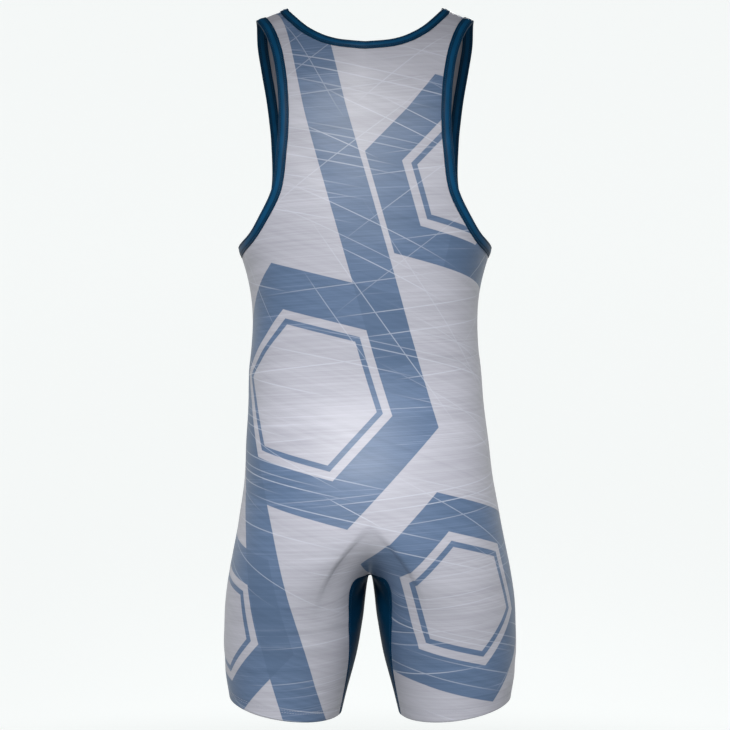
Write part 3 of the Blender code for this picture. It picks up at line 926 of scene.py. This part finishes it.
def stitch_tree():
    """Geometry nodes that lay a short round thread at each point, along its own direction."""
    tree = bpy.data.node_groups.new("stitch_row", "GeometryNodeTree")
    inputs = {
        "Points": "Geometry", "Stitch length": "Float", "Thread radius": "Float",
        "Unevenness": "Float", "Thread": "Material",
    }
    for name, kind in inputs.items():
        tree.interface.new_socket(name, in_out="INPUT", socket_type="NodeSocket" + kind)
    tree.interface.new_socket("Stitches", in_out="OUTPUT", socket_type="NodeSocketGeometry")

    def add(kind, settings=None, values=None):
        node = tree.nodes.new(kind)
        for name, value in (settings or {}).items():
            setattr(node, name, value)
        for name, value in (values or {}).items():
            if isinstance(value, bpy.types.NodeSocket):
                tree.links.new(value, node.inputs[name])
            else:
                node.inputs[name].default_value = value
        return node

    def math_of(operation, one, other):
        return add("ShaderNodeMath", {"operation": operation}, {0: one, 1: other}).outputs[0]

    given = add("NodeGroupInput").outputs
    along = add("GeometryNodeInputNamedAttribute", {"data_type": "FLOAT_VECTOR"}, {"Name": "along"})
    out = add("GeometryNodeInputNamedAttribute", {"data_type": "FLOAT_VECTOR"}, {"Name": "out"})
    bead = add("GeometryNodeMeshUVSphere", None, {"Segments": 6, "Rings": 4, "Radius": 0.5})
    first = add("FunctionNodeAlignRotationToVector", {"axis": "X"}, {"Vector": along.outputs[0]})
    turned_out = add(
        "FunctionNodeAlignRotationToVector", {"axis": "Z", "pivot_axis": "X"},
        {"Rotation": first.outputs[0], "Vector": out.outputs[0]},
    )
    thick = math_of("MULTIPLY", given["Thread radius"], 2.0)
    vary = add("FunctionNodeRandomValue", None, {"Seed": 7})
    vary.inputs[2].default_value = -1.0
    vary.inputs[3].default_value = 1.0
    uneven = math_of("MULTIPLY", vary.outputs[1], given["Unevenness"])
    long = math_of("MULTIPLY", given["Stitch length"], math_of("ADD", uneven, 1.0))
    size = add("ShaderNodeCombineXYZ", None, {"X": long, "Y": thick, "Z": thick})
    laid = add(
        "GeometryNodeInstanceOnPoints", None,
        {"Points": given["Points"], "Instance": bead.outputs["Mesh"],
         "Rotation": turned_out.outputs[0], "Scale": size.outputs[0]},
    )
    real = add("GeometryNodeRealizeInstances", None, {"Geometry": laid.outputs[0]})
    coloured = add(
        "GeometryNodeSetMaterial", None, {"Geometry": real.outputs[0], "Material": given["Thread"]})
    add("NodeGroupOutput", None, {"Stitches": coloured.outputs[0]})
    return tree


def stitch_piece(name, spots, stitch, thread, tree):
    """Plain mesh of stitches laid by the geometry nodes at some spots."""
    data = bpy.data.meshes.new(name + "_places")
    lift = stitch.radius * THREAD_LIFT
    data.from_pydata([spot[0] + spot[2] * lift for spot in spots], [], [])
    for label, which in (("along", 1), ("out", 2)):
        layer = data.attributes.new(label, "FLOAT_VECTOR", "POINT")
        layer.data.foreach_set("vector", [value for spot in spots for value in spot[which]])
    places = put(name + "_places", data)
    laid = places.modifiers.new("stitches", "NODES")
    laid.node_group = tree
    sizes = {
        "Stitch length": stitch.length, "Thread radius": stitch.radius,
        "Unevenness": STITCH_UNEVENNESS, "Thread": thread,
    }
    for item in tree.interface.items_tree:
        if item.in_out == "INPUT" and item.name in sizes:
            laid[item.identifier] = sizes[item.name]
    depsgraph = bpy.context.evaluated_depsgraph_get()
    mesh = bpy.data.meshes.new_from_object(places.evaluated_get(depsgraph))
    mesh.name = name
    mesh.shade_smooth()
    bpy.data.objects.remove(places, do_unlink=True)
    return put(name, mesh)


# Finishes

def operator(operation, turned=False):
    """Method that joins a value and another one through a Math node, or the other way round."""
    def joined(self, *others):
        terms = (self, *others)
        return self.math(operation, *(terms[::-1] if turned else terms))
    return joined


class Value:
    """A shader value that ordinary arithmetic adds Math nodes to."""

    __add__, __radd__ = operator("ADD"), operator("ADD", True)
    __sub__, __rsub__ = operator("SUBTRACT"), operator("SUBTRACT", True)
    __mul__, __rmul__ = operator("MULTIPLY"), operator("MULTIPLY", True)
    __truediv__ = operator("DIVIDE")
    __abs__ = operator("ABSOLUTE")
    least = operator("MINIMUM")
    most = operator("MAXIMUM")
    wave = operator("SINE")
    floored = operator("FLOOR")

    def __init__(self, finish, socket):
        self.finish = finish
        self.socket = socket

    def math(self, operation, *others):
        node = self.finish.node("ShaderNodeMath", {"operation": operation}, dict(enumerate(others)))
        return Value(self.finish, node.outputs[0])

    def kept(self):
        """The value kept between 0 and 1."""
        return self.least(1.0).most(0.0)

    def rise(self, low, high):
        """Soft rise from 0 below low to 1 above high."""
        share = ((self - low) / (high - low)).kept()
        return share * share * (3 - 2 * share)


# How each finish shines where nothing varies it
Gloss = namedtuple("Gloss", "roughness sheen sheen_roughness specular")
PRINT_GLOSS = Gloss(0.42, 0.0, 0.35, 0.42)
INSIDE_GLOSS = Gloss(0.75, 0.10, 0.5, 0.25)
PLAIN_GLOSS = Gloss(0.52, 0.0, 0.4, 0.04)
BINDING_GLOSS = Gloss(0.45, 0.0, 0.4, 0.08)
THREAD_GLOSS = Gloss(0.42, 0.02, 0.4, 0.3)
FLOOR_GLOSS = Gloss(0.9, 0.0, 0.5, 0.2)


class Finish:
    """A material, with its shader and the nodes that feed it."""

    def __init__(self, name, gloss):
        self.material = bpy.data.materials.new(name)
        self.material.use_nodes = True
        self.tree = self.material.node_tree
        self.shader = self.tree.nodes["Principled BSDF"]
        constants = {
            "Roughness": gloss.roughness, "Sheen Weight": gloss.sheen,
            "Sheen Roughness": gloss.sheen_roughness, "Specular IOR Level": gloss.specular,
        }
        for name, value in constants.items():
            self.shader.inputs[name].default_value = value

    def node(self, kind, settings=None, values=None):
        """Node of a kind, with its settings and then the values or links of its sockets."""
        node = self.tree.nodes.new(kind)
        for name, value in (settings or {}).items():
            setattr(node, name, value)
        for name, value in (values or {}).items():
            if isinstance(value, Value):
                value = value.socket
            if isinstance(value, bpy.types.NodeSocket):
                self.tree.links.new(value, node.inputs[name])
            else:
                node.inputs[name].default_value = value
        return node

    def cut_cloth(self):
        """Places across and up on the cut cloth."""
        uv = self.node("ShaderNodeUVMap", {"uv_map": "cut_cloth"})
        parts = self.node("ShaderNodeSeparateXYZ", None, {0: uv.outputs[0]})
        return Value(self, parts.outputs[0]), Value(self, parts.outputs[1])

    def noise_at(self, x, y, z=0.0, detail=2.0, roughness=0.5):
        """Noise, from 0 to 1, at three values."""
        place = self.node("ShaderNodeCombineXYZ", None, {0: x, 1: y, 2: z})
        cloud = self.node(
            "ShaderNodeTexNoise", None,
            {"Vector": place.outputs[0], "Scale": 1.0, "Detail": detail, "Roughness": roughness},
        )
        return Value(self, cloud.outputs[0])

    def blend(self, share, one, other):
        """Colour between two, by a value."""
        node = self.node("ShaderNodeMix", {"data_type": "RGBA"}, {0: share})
        for index, colour in ((6, one), (7, other)):
            if isinstance(colour, bpy.types.NodeSocket):
                self.tree.links.new(colour, node.inputs[index])
            else:
                node.inputs[index].default_value = (*colour, 1)
        return node.outputs[2]

    def feed(self, name, value):
        """Links a value or colour to the shader."""
        socket = value.socket if isinstance(value, Value) else value
        self.tree.links.new(socket, self.shader.inputs[name])

    def bump(self, height_value, strength, distance):
        """Feeds a height to the shader's normal."""
        node = self.node(
            "ShaderNodeBump", None,
            {"Height": height_value, "Strength": strength, "Distance": distance},
        )
        self.feed("Normal", node.outputs[0])


def turned_axes(x, y, degrees):
    """The same place on axes turned by some degrees."""
    turn = math.radians(degrees)
    return x * math.cos(turn) + y * math.sin(turn), y * math.cos(turn) - x * math.sin(turn)


# The print, on the cut cloth in metres: six-sided frames, each with a thin line inside it, and
# straight bands that run on from one side of a frame
Frame = namedtuple("Frame", "across up half_height band")
Band = namedtuple("Band", "frame side start end width")
PRINT_TURN = 14
SIDE_DEGREES = 60
BACK_FRAMES = (
    Frame(0.066, -0.432, 0.130, 0.046), Frame(-0.112, -0.196, 0.100, 0.036),
    Frame(-0.108, -0.655, 0.106, 0.038), Frame(0.190, -0.690, 0.094, 0.036),
)
BACK_BANDS = (
    Band(0, 1, 0.0, 0.60, 0.046), Band(0, 4, 0.0, 0.45, 0.046), Band(1, 3, 0.0, 0.30, 0.036),
    Band(2, 2, 0.0, 0.30, 0.038), Band(1, 1, 0.0, 0.30, 0.036),
)
FRONT_FRAMES = (
    Frame(-0.060, -0.420, 0.120, 0.042), Frame(0.125, -0.245, 0.092, 0.034),
    Frame(0.112, -0.640, 0.106, 0.036), Frame(-0.186, -0.690, 0.088, 0.032),
    Frame(-0.105, -0.150, 0.070, 0.028),
)
FRONT_BANDS = (
    Band(0, 2, 0.0, 0.50, 0.042), Band(0, 5, 0.0, 0.40, 0.042), Band(1, 0, 0.0, 0.30, 0.034),
    Band(2, 4, 0.0, 0.30, 0.036), Band(4, 3, 0.0, 0.30, 0.028),
)
PRINT_EDGE = 0.0004
THIN_LINE = 0.006
THIN_LINE_GAP = 0.009
SILVER = (0.405, 0.405, 0.458)
SILVER_DEEP = (0.300, 0.300, 0.345)
SLATE = (0.104, 0.156, 0.258)
SLATE_DEEP = (0.058, 0.098, 0.172)
STREAK_LIGHT = (0.500, 0.525, 0.600)
INSIDE = (0.300, 0.300, 0.340)
NAVY = (0.002, 0.034, 0.078)
# Darkest navy: random tone on the gusset, and painted shade along the binding's stitch lines and
# edges
NAVY_DEEP_TONE_AND_SHADE = (0.001, 0.015, 0.038)
# Painted highlight: the lighter navy along the binding's crown
NAVY_HIGHLIGHT = (0.004, 0.064, 0.158)
GUSSET_NAVY = (0.001, 0.036, 0.088)
NAVY_THREAD = (0.004, 0.045, 0.120)
GREY_THREAD = (0.360, 0.370, 0.430)
INSIDE_SHADE = 0.9
THREAD_SHADE = 0.8

# Brushed streaks, which run at some degrees from the cloth's own, and their shares of its tone
Brush = namedtuple("Brush", "degrees along_fine across_fine seed share")
FINE_BRUSH = Brush(0, 4.0, 520.0, 3.1, 1.6)
BROAD_BRUSH = Brush(-7, 2.4, 44.0, 8.4, 1.3)
CROSSING_BRUSH = Brush(24, 3.0, 210.0, 5.7, 0.9)
PLAIN_BRUSH = Brush(8, 18.0, 60.0, 2.2, 1.0)
INSIDE_BRUSH = Brush(0, 30.0, 30.0, 1.3, 1.0)
MIDDLE_TONE = 0.55
DEEPER = 0.45
STREAK_SHARE = 0.45
SCRATCH_SHARE = 0.55
WALE = 0.0011
COURSE = 0.0009

# Sets of long fine scratches, one to a lane: which way they run, how wide their lanes are, how
# much they bend and how wide they are
Scratches = namedtuple("Scratches", "degrees lane bend width seed")
SCRATCHES = (
    Scratches(11, 0.0105, 0.10, 0.0009, 11.0), Scratches(-8, 0.0125, -0.12, 0.0008, 47.0),
    Scratches(24, 0.0210, 0.16, 0.0008, 83.0), Scratches(-36, 0.0260, 0.10, 0.0008, 131.0),
    Scratches(57, 0.0340, -0.08, 0.0008, 173.0),
)
SCRATCH_SPREAD = 0.80
SCRATCH_ASIDE = 0.1
SCRATCH_SHORTEST = 0.040
SCRATCH_LONGER = 0.130
SCRATCH_FAINTEST = 0.45
LANE_EDGE = 0.2


def six_sided(x, y, degrees):
    """Distance of a place from a frame's centre, measured square to its nearest side."""
    along, up = turned_axes(x, y, degrees)
    along = abs(along)
    up = abs(up)
    slope = math.radians(SIDE_DEGREES)
    return (along * math.sin(slope) + up * math.cos(slope)).most(up)


def stripe(distance, width):
    """1 within half a width of a line, softly down to 0 beyond."""
    return 1 - (abs(distance) - width / 2).rise(-PRINT_EDGE, PRINT_EDGE)


def printed(finish, frames, bands):
    """Share of the print's darker colour at each place, and the share of its deeper shade."""
    across, up = finish.cut_cloth()
    cover = None
    for shape in frames:
        away = six_sided(across - shape.across, up - shape.up, PRINT_TURN)
        here = stripe(away - (shape.half_height - shape.band / 2), shape.band)
        thin = shape.half_height - shape.band - THIN_LINE_GAP - THIN_LINE / 2
        here = here.most(stripe(away - thin, THIN_LINE))
        cover = here if cover is None else cover.most(here)
    deep = None
    for band in bands:
        shape = frames[band.frame]
        side_turn = PRINT_TURN + SIDE_DEGREES * band.side
        along, off = turned_axes(across - shape.across, up - shape.up, side_turn)
        here = stripe(off - (shape.half_height - band.width / 2), band.width)
        here = here * along.rise(band.start - PRINT_EDGE, band.start + PRINT_EDGE)
        here = here * (1 - along.rise(band.end - PRINT_EDGE, band.end + PRINT_EDGE))
        deep = here if deep is None else deep.most(here)
    return cover.most(deep), deep * cover


def brushed(finish, brush, degrees=0):
    """Brushed streaks that run one way."""
    across, up = finish.cut_cloth()
    x, y = turned_axes(across, up, degrees + brush.degrees)
    return finish.noise_at(x * brush.along_fine, y * brush.across_fine, brush.seed, 4.0, 0.62)


def scratched(finish, sets):
    """Share of the light scratches at each place: thin lines, each within its own lane."""
    across, up = finish.cut_cloth()
    cover = None
    for one in sets:
        along, off = turned_axes(across, up, one.degrees)
        lanes = (off + along * along * one.bend) / one.lane
        lane = lanes.floored()
        chance = finish.node(
            "ShaderNodeTexWhiteNoise", {"noise_dimensions": "1D"}, {"W": lane + one.seed})
        parts = finish.node("ShaderNodeSeparateXYZ", None, {0: chance.outputs[1]})
        first, second, third = [Value(finish, socket) for socket in parts.outputs]
        aside = abs(lanes - lane - LANE_EDGE - first * (1 - 2 * LANE_EDGE)) * one.lane
        line = 1 - aside.rise(one.width * 0.3, one.width)
        middle = (second - 0.5) * SCRATCH_SPREAD - SCRATCH_ASIDE
        share = abs(along - middle) / (third * SCRATCH_LONGER + SCRATCH_SHORTEST)
        strength = SCRATCH_FAINTEST + first * (1 - SCRATCH_FAINTEST)
        here = line * (1 - share.rise(0.3, 1.0)) * strength
        cover = here if cover is None else cover.most(here)
    return cover


def knit_height(finish):
    """Height of a fine warp knit: upright wales with a slight stagger."""
    across, up = finish.cut_cloth()
    wale = (across * (2 * math.pi / WALE)).wave()
    course = (up * (2 * math.pi / COURSE)).wave()
    return wale * 0.6 + wale * course * 0.4


def printed_cloth(name, frames, bands, degrees):
    """Printed stretch knit: silver ground, slate shapes, brushed streaks and light scratches."""
    finish = Finish(name, PRINT_GLOSS)
    cover, deep = printed(finish, frames, bands)
    brushes = (FINE_BRUSH, BROAD_BRUSH, CROSSING_BRUSH)
    fine, broad, crossing = [brushed(finish, brush, degrees) for brush in brushes]
    tone = (fine - 0.5) * FINE_BRUSH.share + (broad - 0.5) * BROAD_BRUSH.share
    tone = (tone + (crossing - 0.5) * CROSSING_BRUSH.share + MIDDLE_TONE).kept()
    ground = finish.blend(tone, SILVER_DEEP, SILVER)
    slate = finish.blend(deep * DEEPER, finish.blend(tone, SLATE_DEEP, SLATE), SLATE_DEEP)
    colour = finish.blend(cover, ground, slate)
    streak = fine.rise(0.58, 0.74) * broad.rise(0.46, 0.64) * STREAK_SHARE
    scratch = scratched(finish, SCRATCHES) * SCRATCH_SHARE
    colour = finish.blend(streak.most(scratch), colour, STREAK_LIGHT)
    finish.feed("Base Color", colour)
    finish.feed("Roughness", 0.39 + fine * 0.10)
    finish.bump(knit_height(finish), 0.18, 0.0001)
    return finish.material


def inside_cloth():
    """The knit's plain inner face."""
    finish = Finish("cloth_inside", INSIDE_GLOSS)
    cloud = brushed(finish, INSIDE_BRUSH)
    shade = tuple(INSIDE_SHADE * part for part in INSIDE)
    finish.feed("Base Color", finish.blend(cloud, INSIDE, shade))
    finish.bump(knit_height(finish), 0.3, 0.00012)
    return finish.material


def plain_cloth(name, colour, dark):
    """Plain dyed knit, slightly uneven."""
    finish = Finish(name, PLAIN_GLOSS)
    cloud = brushed(finish, PLAIN_BRUSH)
    finish.feed("Base Color", finish.blend(cloud, dark, colour))
    finish.feed("Roughness", 0.46 + cloud * 0.12)
    finish.bump(knit_height(finish), 0.22, 0.00012)
    return finish.material


def binding_cloth():
    """Binding knit, ribbed along its length, with painted shade darker along its stitch lines and
    edges and a painted highlight lighter along the crown between.
    """
    finish = Finish("binding_cloth", BINDING_GLOSS)
    along, across = finish.cut_cloth()
    cloud = finish.noise_at(along * 60.0, across * 2.4, 0.7, 3.0)
    # Painted shade from the stitch lines out to the edges, painted highlight along the crown
    # between them
    edge = abs(across - 0.52).rise(0.13, 0.24)
    middle_with_highlight = finish.blend(cloud, NAVY, NAVY_HIGHLIGHT)
    finish.feed("Base Color", finish.blend(edge, middle_with_highlight, finish.blend(cloud, NAVY_DEEP_TONE_AND_SHADE, NAVY)))
    finish.feed("Roughness", 0.38 + cloud * 0.15)
    rib = (across * (2 * math.pi / 0.08)).wave()
    finish.bump(rib * 0.5 + cloud * 0.5, 0.25, 0.00012)
    return finish.material


def thread(name, colour):
    """Sewing thread."""
    finish = Finish(name, THREAD_GLOSS)
    place = finish.node("ShaderNodeTexCoord").outputs["Object"]
    cloud = finish.node("ShaderNodeTexNoise", None, {"Vector": place, "Scale": 900.0})
    shade = tuple(THREAD_SHADE * part for part in colour)
    finish.feed("Base Color", finish.blend(Value(finish, cloud.outputs[0]), colour, shade))
    return finish.material


# Putting the singlet together

def build_form():
    """The panels and the worn form that they share."""
    back = Panel(False)
    front = Panel(True)
    stops = leg_stops()[1]
    halves = [leg_rows(stops, is_front) for is_front in (False, True)]
    gusset = whole([quad for rows in halves for quad in quads_between(rows)])
    quads = back.quads + front.quads + gusset
    points = {}
    for quad in quads:
        for spot in quad:
            points[key(spot.point)] = spot.point

    def line_points(lines):
        return [points[name][:] for line in lines for side in chain(line) for name in side]

    seams = line_points([back.side, front.side, back.gusset, front.gusset, back.shoulder])
    gusset_hems = [rows[at] for rows in halves for at in HEM_LINES]
    hem_seams = line_points(back.hem_rows + front.hem_rows + gusset_hems)
    form = Form(quads, seams, hem_seams)
    return back, front, halves, gusset, form


def loop_of(back_rows, front_rows, side):
    """Lines of keys right round a side's opening, from the back's rows and the front's."""
    back = [chain(row)[side] for row in back_rows]
    front = [chain(row)[side] for row in front_rows]
    return back + front[::-1][1:]


def sewn_seams(form, pairs):
    """Both rows of stitches beside some seams, and the threads that cross them."""
    rows, crossings = [], []
    for one, other in pairs:
        for side in (0, 1):
            first = form.line(chain(one)[side])
            second = form.line(chain(other)[side])
            for line in (first, second):
                rows += evenly(*line, SEAM_STITCH.pitch, False)
            crossings += across_seam(first, second, CROSSING.pitch)
    return rows, crossings


def sewn_hems(form, back, front, halves):
    """The two rows of stitches round each hem."""
    hems = []
    for k, at in enumerate(HEM_LINES):
        ring = back.hem_rows[k] + halves[0][at][1:] + halves[1][at][::-1][1:]
        ring += front.hem_rows[k][::-1][1:-1]
        for side in (0, 1):
            hems += evenly(*form.line(chain(ring)[side]), HEM_STITCH.pitch, True)
    return hems


def dress():
    """Every piece of the singlet, riding on the frame and standing for its node."""
    back, front, halves, gusset, form = build_form()
    neck = loop_of(back.neck, front.neck, 0)
    neck += loop_of(back.neck, front.neck, 1)[::-1][1:-1]
    armholes = [loop_of(back.armhole, front.armhole, side)[:-1] for side in (0, 1)]
    bound = {line[0] for line in neck + armholes[0] + armholes[1]}
    last_rows = [back.hem, front.hem] + [rows[-1] for rows in halves]
    thick_rows = back.thick + front.thick + [row for rows in halves for row in rows[-1 - HEM_ROWS:]]
    hem = {name for row in last_rows for side in chain(row) for name in side}
    thick = {name for row in thick_rows for side in chain(row) for name in side}

    inside = inside_cloth()
    gusset_cloth = plain_cloth("gusset_cloth", GUSSET_NAVY, NAVY_DEEP_TONE_AND_SHADE)
    edges = (form, bound, hem, thick)
    back_cloth = cloth_piece(
        "back_cloth", back.quads, *edges,
        [printed_cloth("back_print", BACK_FRAMES, BACK_BANDS, -3), inside])
    front_cloth = cloth_piece(
        "front_cloth", front.quads, *edges,
        [printed_cloth("front_print", FRONT_FRAMES, FRONT_BANDS, 4), inside])
    gusset_piece = cloth_piece("gusset_piece", gusset, *edges, [gusset_cloth, gusset_cloth])

    bound_cloth = [binding_cloth()]
    neck_strip, rows = binding_piece("neck_strip", neck, form, NECK_BINDING, bound_cloth)
    strips = [neck_strip]
    for side, label in ((0, "left"), (1, "right")):
        strip, more = binding_piece(
            "armhole_strip_" + label, armholes[side], form, ARMHOLE_BINDING, bound_cloth)
        strips.append(strip)
        rows += more
    binding_rows = [spot for row in rows for spot in evenly(*row, BINDING_STITCH.pitch, True)]
    gusset_rows = [[row[BESIDE] for row in rows] for rows in halves]
    panel_seams = [(back.side_row, front.side_row), (back.shoulder_row, front.shoulder_row)]
    gusset_seams = [(back.gusset_row, gusset_rows[0]), (front.gusset_row, gusset_rows[1])]
    seam_rows, crossings = sewn_seams(form, panel_seams)
    dark_rows, dark_crossings = sewn_seams(form, gusset_seams)
    hem_rows = sewn_hems(form, back, front, halves)

    tree = stitch_tree()
    navy = thread("navy_thread", NAVY_THREAD)
    grey = thread("grey_thread", GREY_THREAD)
    binding_stitches = stitch_piece("binding_stitches", binding_rows, BINDING_STITCH, navy, tree)
    seam_stitches = stitch_piece("seam_stitches", seam_rows, SEAM_STITCH, grey, tree)
    seam_crossings = stitch_piece("seam_crossings", crossings, CROSSING, grey, tree)
    hem_stitches = stitch_piece("hem_stitches", hem_rows, HEM_STITCH, grey, tree)
    gusset_stitches = stitch_piece("gusset_stitches", dark_rows, SEAM_STITCH, navy, tree)
    gusset_crossings = stitch_piece("gusset_crossings", dark_crossings, CROSSING, navy, tree)

    stands_for = {
        "back_panel": back_cloth, "front_panel": front_cloth, "gusset": gusset_piece,
        "neck_binding": strips[0], "armhole_binding_left": strips[1],
        "armhole_binding_right": strips[2],
    }
    for node, piece in stands_for.items():
        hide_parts(node)
    slots = {
        "printed_cloth": (back_cloth, front_cloth, seam_stitches, seam_crossings, hem_stitches),
        "dark_cloth": (gusset_piece, gusset_stitches, gusset_crossings),
        "binding": (*strips, binding_stitches),
    }
    for slot, pieces in slots.items():
        for piece in pieces:
            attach(piece, "root")


# Floor, light and camera

CAMERA_AWAY = 1.65
CAMERA_HEIGHT = -0.400
CAMERA_ANGLE = 28.6
WORLD_COLOUR = (0.92, 0.94, 0.93, 1)
WORLD_STRENGTH = 0.04
KEY_PLACE = (0.15, 1.85, 0.75)
KEY_TARGET = (0, 0, -0.60)
KEY_SIZE = (1.28, 0.60)
KEY_SPREAD = 0.62
KEY_POWER = 4.8
FRONT_KEY_POWER = 2.2
FLOOR_LEVEL = -1.45
FLOOR_COLOUR = (0.60, 0.615, 0.61)
# Painted light: the glow of the floor and of the backdrop
FLOOR_LIGHT = (0.20, 0.205, 0.203)
BACKDROP_COLOUR = (0.30, 0.308, 0.305)
BACKDROP_LIGHT = (0.802, 0.822, 0.818)
BACKDROP_DIM = (0.32, 0.328, 0.326)
DIMS_BETWEEN = (0.4, 2.3)
BACKDROP_BETWEEN = (1.6, 2.6)
FLOOR_SIDES = 96

# Rings of the floor and backdrop, each with its radius and its height over the floor
Ring = namedtuple("Ring", "radius up")
FLOOR_RINGS = (
    Ring(0.05, 0.0), Ring(1.9, 0.0), Ring(2.3, 0.01), Ring(2.7, 0.07), Ring(3.3, 0.32),
    Ring(3.8, 0.80), Ring(4.1, 1.5), Ring(4.2, 2.4), Ring(4.25, 3.4),
)


def floor():
    """Wide pale round floor that rises softly into a backdrop, palest before the singlet; floor and
    backdrop glow as painted light, the backdrop dimmer on the other side.
    """
    mesh = bmesh.new()
    turns = [2 * math.pi * k / FLOOR_SIDES for k in range(FLOOR_SIDES)]
    loops = []
    for radius, up in FLOOR_RINGS:
        loops.append([
            mesh.verts.new((radius * math.cos(turn), radius * math.sin(turn), FLOOR_LEVEL + up))
            for turn in turns])
    mesh.faces.new(loops[0])
    for lower, upper in zip(loops, loops[1:]):
        for k in range(FLOOR_SIDES):
            j = (k + 1) % FLOOR_SIDES
            mesh.faces.new((lower[k], lower[j], upper[j], upper[k]))
    data = bpy.data.meshes.new("floor")
    mesh.to_mesh(data)
    mesh.free()
    data.shade_smooth()
    finish = Finish("pale_floor", FLOOR_GLOSS)
    place = finish.node("ShaderNodeTexCoord").outputs["Object"]
    parts = finish.node("ShaderNodeSeparateXYZ", None, {0: place})
    x, y = Value(finish, parts.outputs[0]), Value(finish, parts.outputs[1])
    starts, ends = BACKDROP_BETWEEN
    beyond = (x * x + y * y).rise(starts ** 2, ends ** 2)
    finish.feed("Base Color", finish.blend(beyond, FLOOR_COLOUR, BACKDROP_COLOUR))
    # Painted light: the backdrop glows brightest before the singlet and dim on the other side
    behind = (0 - y).rise(*DIMS_BETWEEN)
    backdrop = finish.blend(behind, BACKDROP_DIM, BACKDROP_LIGHT)
    finish.feed("Emission Color", finish.blend(beyond, FLOOR_LIGHT, backdrop))
    finish.shader.inputs["Emission Strength"].default_value = 1.0
    data.materials.append(finish.material)
    put("floor", data)


def key_light(name, place_of, target, power):
    """Wide soft light that faces a point."""
    data = bpy.data.lights.new(name, "AREA")
    data.energy = power
    data.shape = "RECTANGLE"
    data.size, data.size_y = KEY_SIZE
    data.spread = KEY_SPREAD
    lamp = put(name, data)
    lamp.location = place_of
    lamp.rotation_euler = (Vector(target) - Vector(place_of)).to_track_quat("-Z", "Y").to_euler()


def studio():
    """Soft pale light all round, with one key light high behind each of the two main views."""
    world = bpy.data.worlds.new("pale")
    world.use_nodes = True
    world.node_tree.nodes["Background"].inputs[0].default_value = WORLD_COLOUR
    world.node_tree.nodes["Background"].inputs[1].default_value = WORLD_STRENGTH
    bpy.context.scene.world = world
    bpy.context.scene.view_settings.view_transform = "Standard"
    x, y, z = KEY_PLACE
    key_light("key", (x, y, z), KEY_TARGET, KEY_POWER)
    key_light("front_key", (-x, -y, z), KEY_TARGET, FRONT_KEY_POWER)


def camera():
    """Camera level with the middle of the singlet, straight behind it."""
    data = bpy.data.cameras.new("camera")
    data.angle = math.radians(CAMERA_ANGLE)
    made = put("camera", data)
    made.location = (0, CAMERA_AWAY, CAMERA_HEIGHT)
    made.rotation_euler = (math.pi / 2, 0, math.pi)
    bpy.context.scene.camera = made


camera()
studio()
floor()
dress()

bpy.context.view_layer.update()
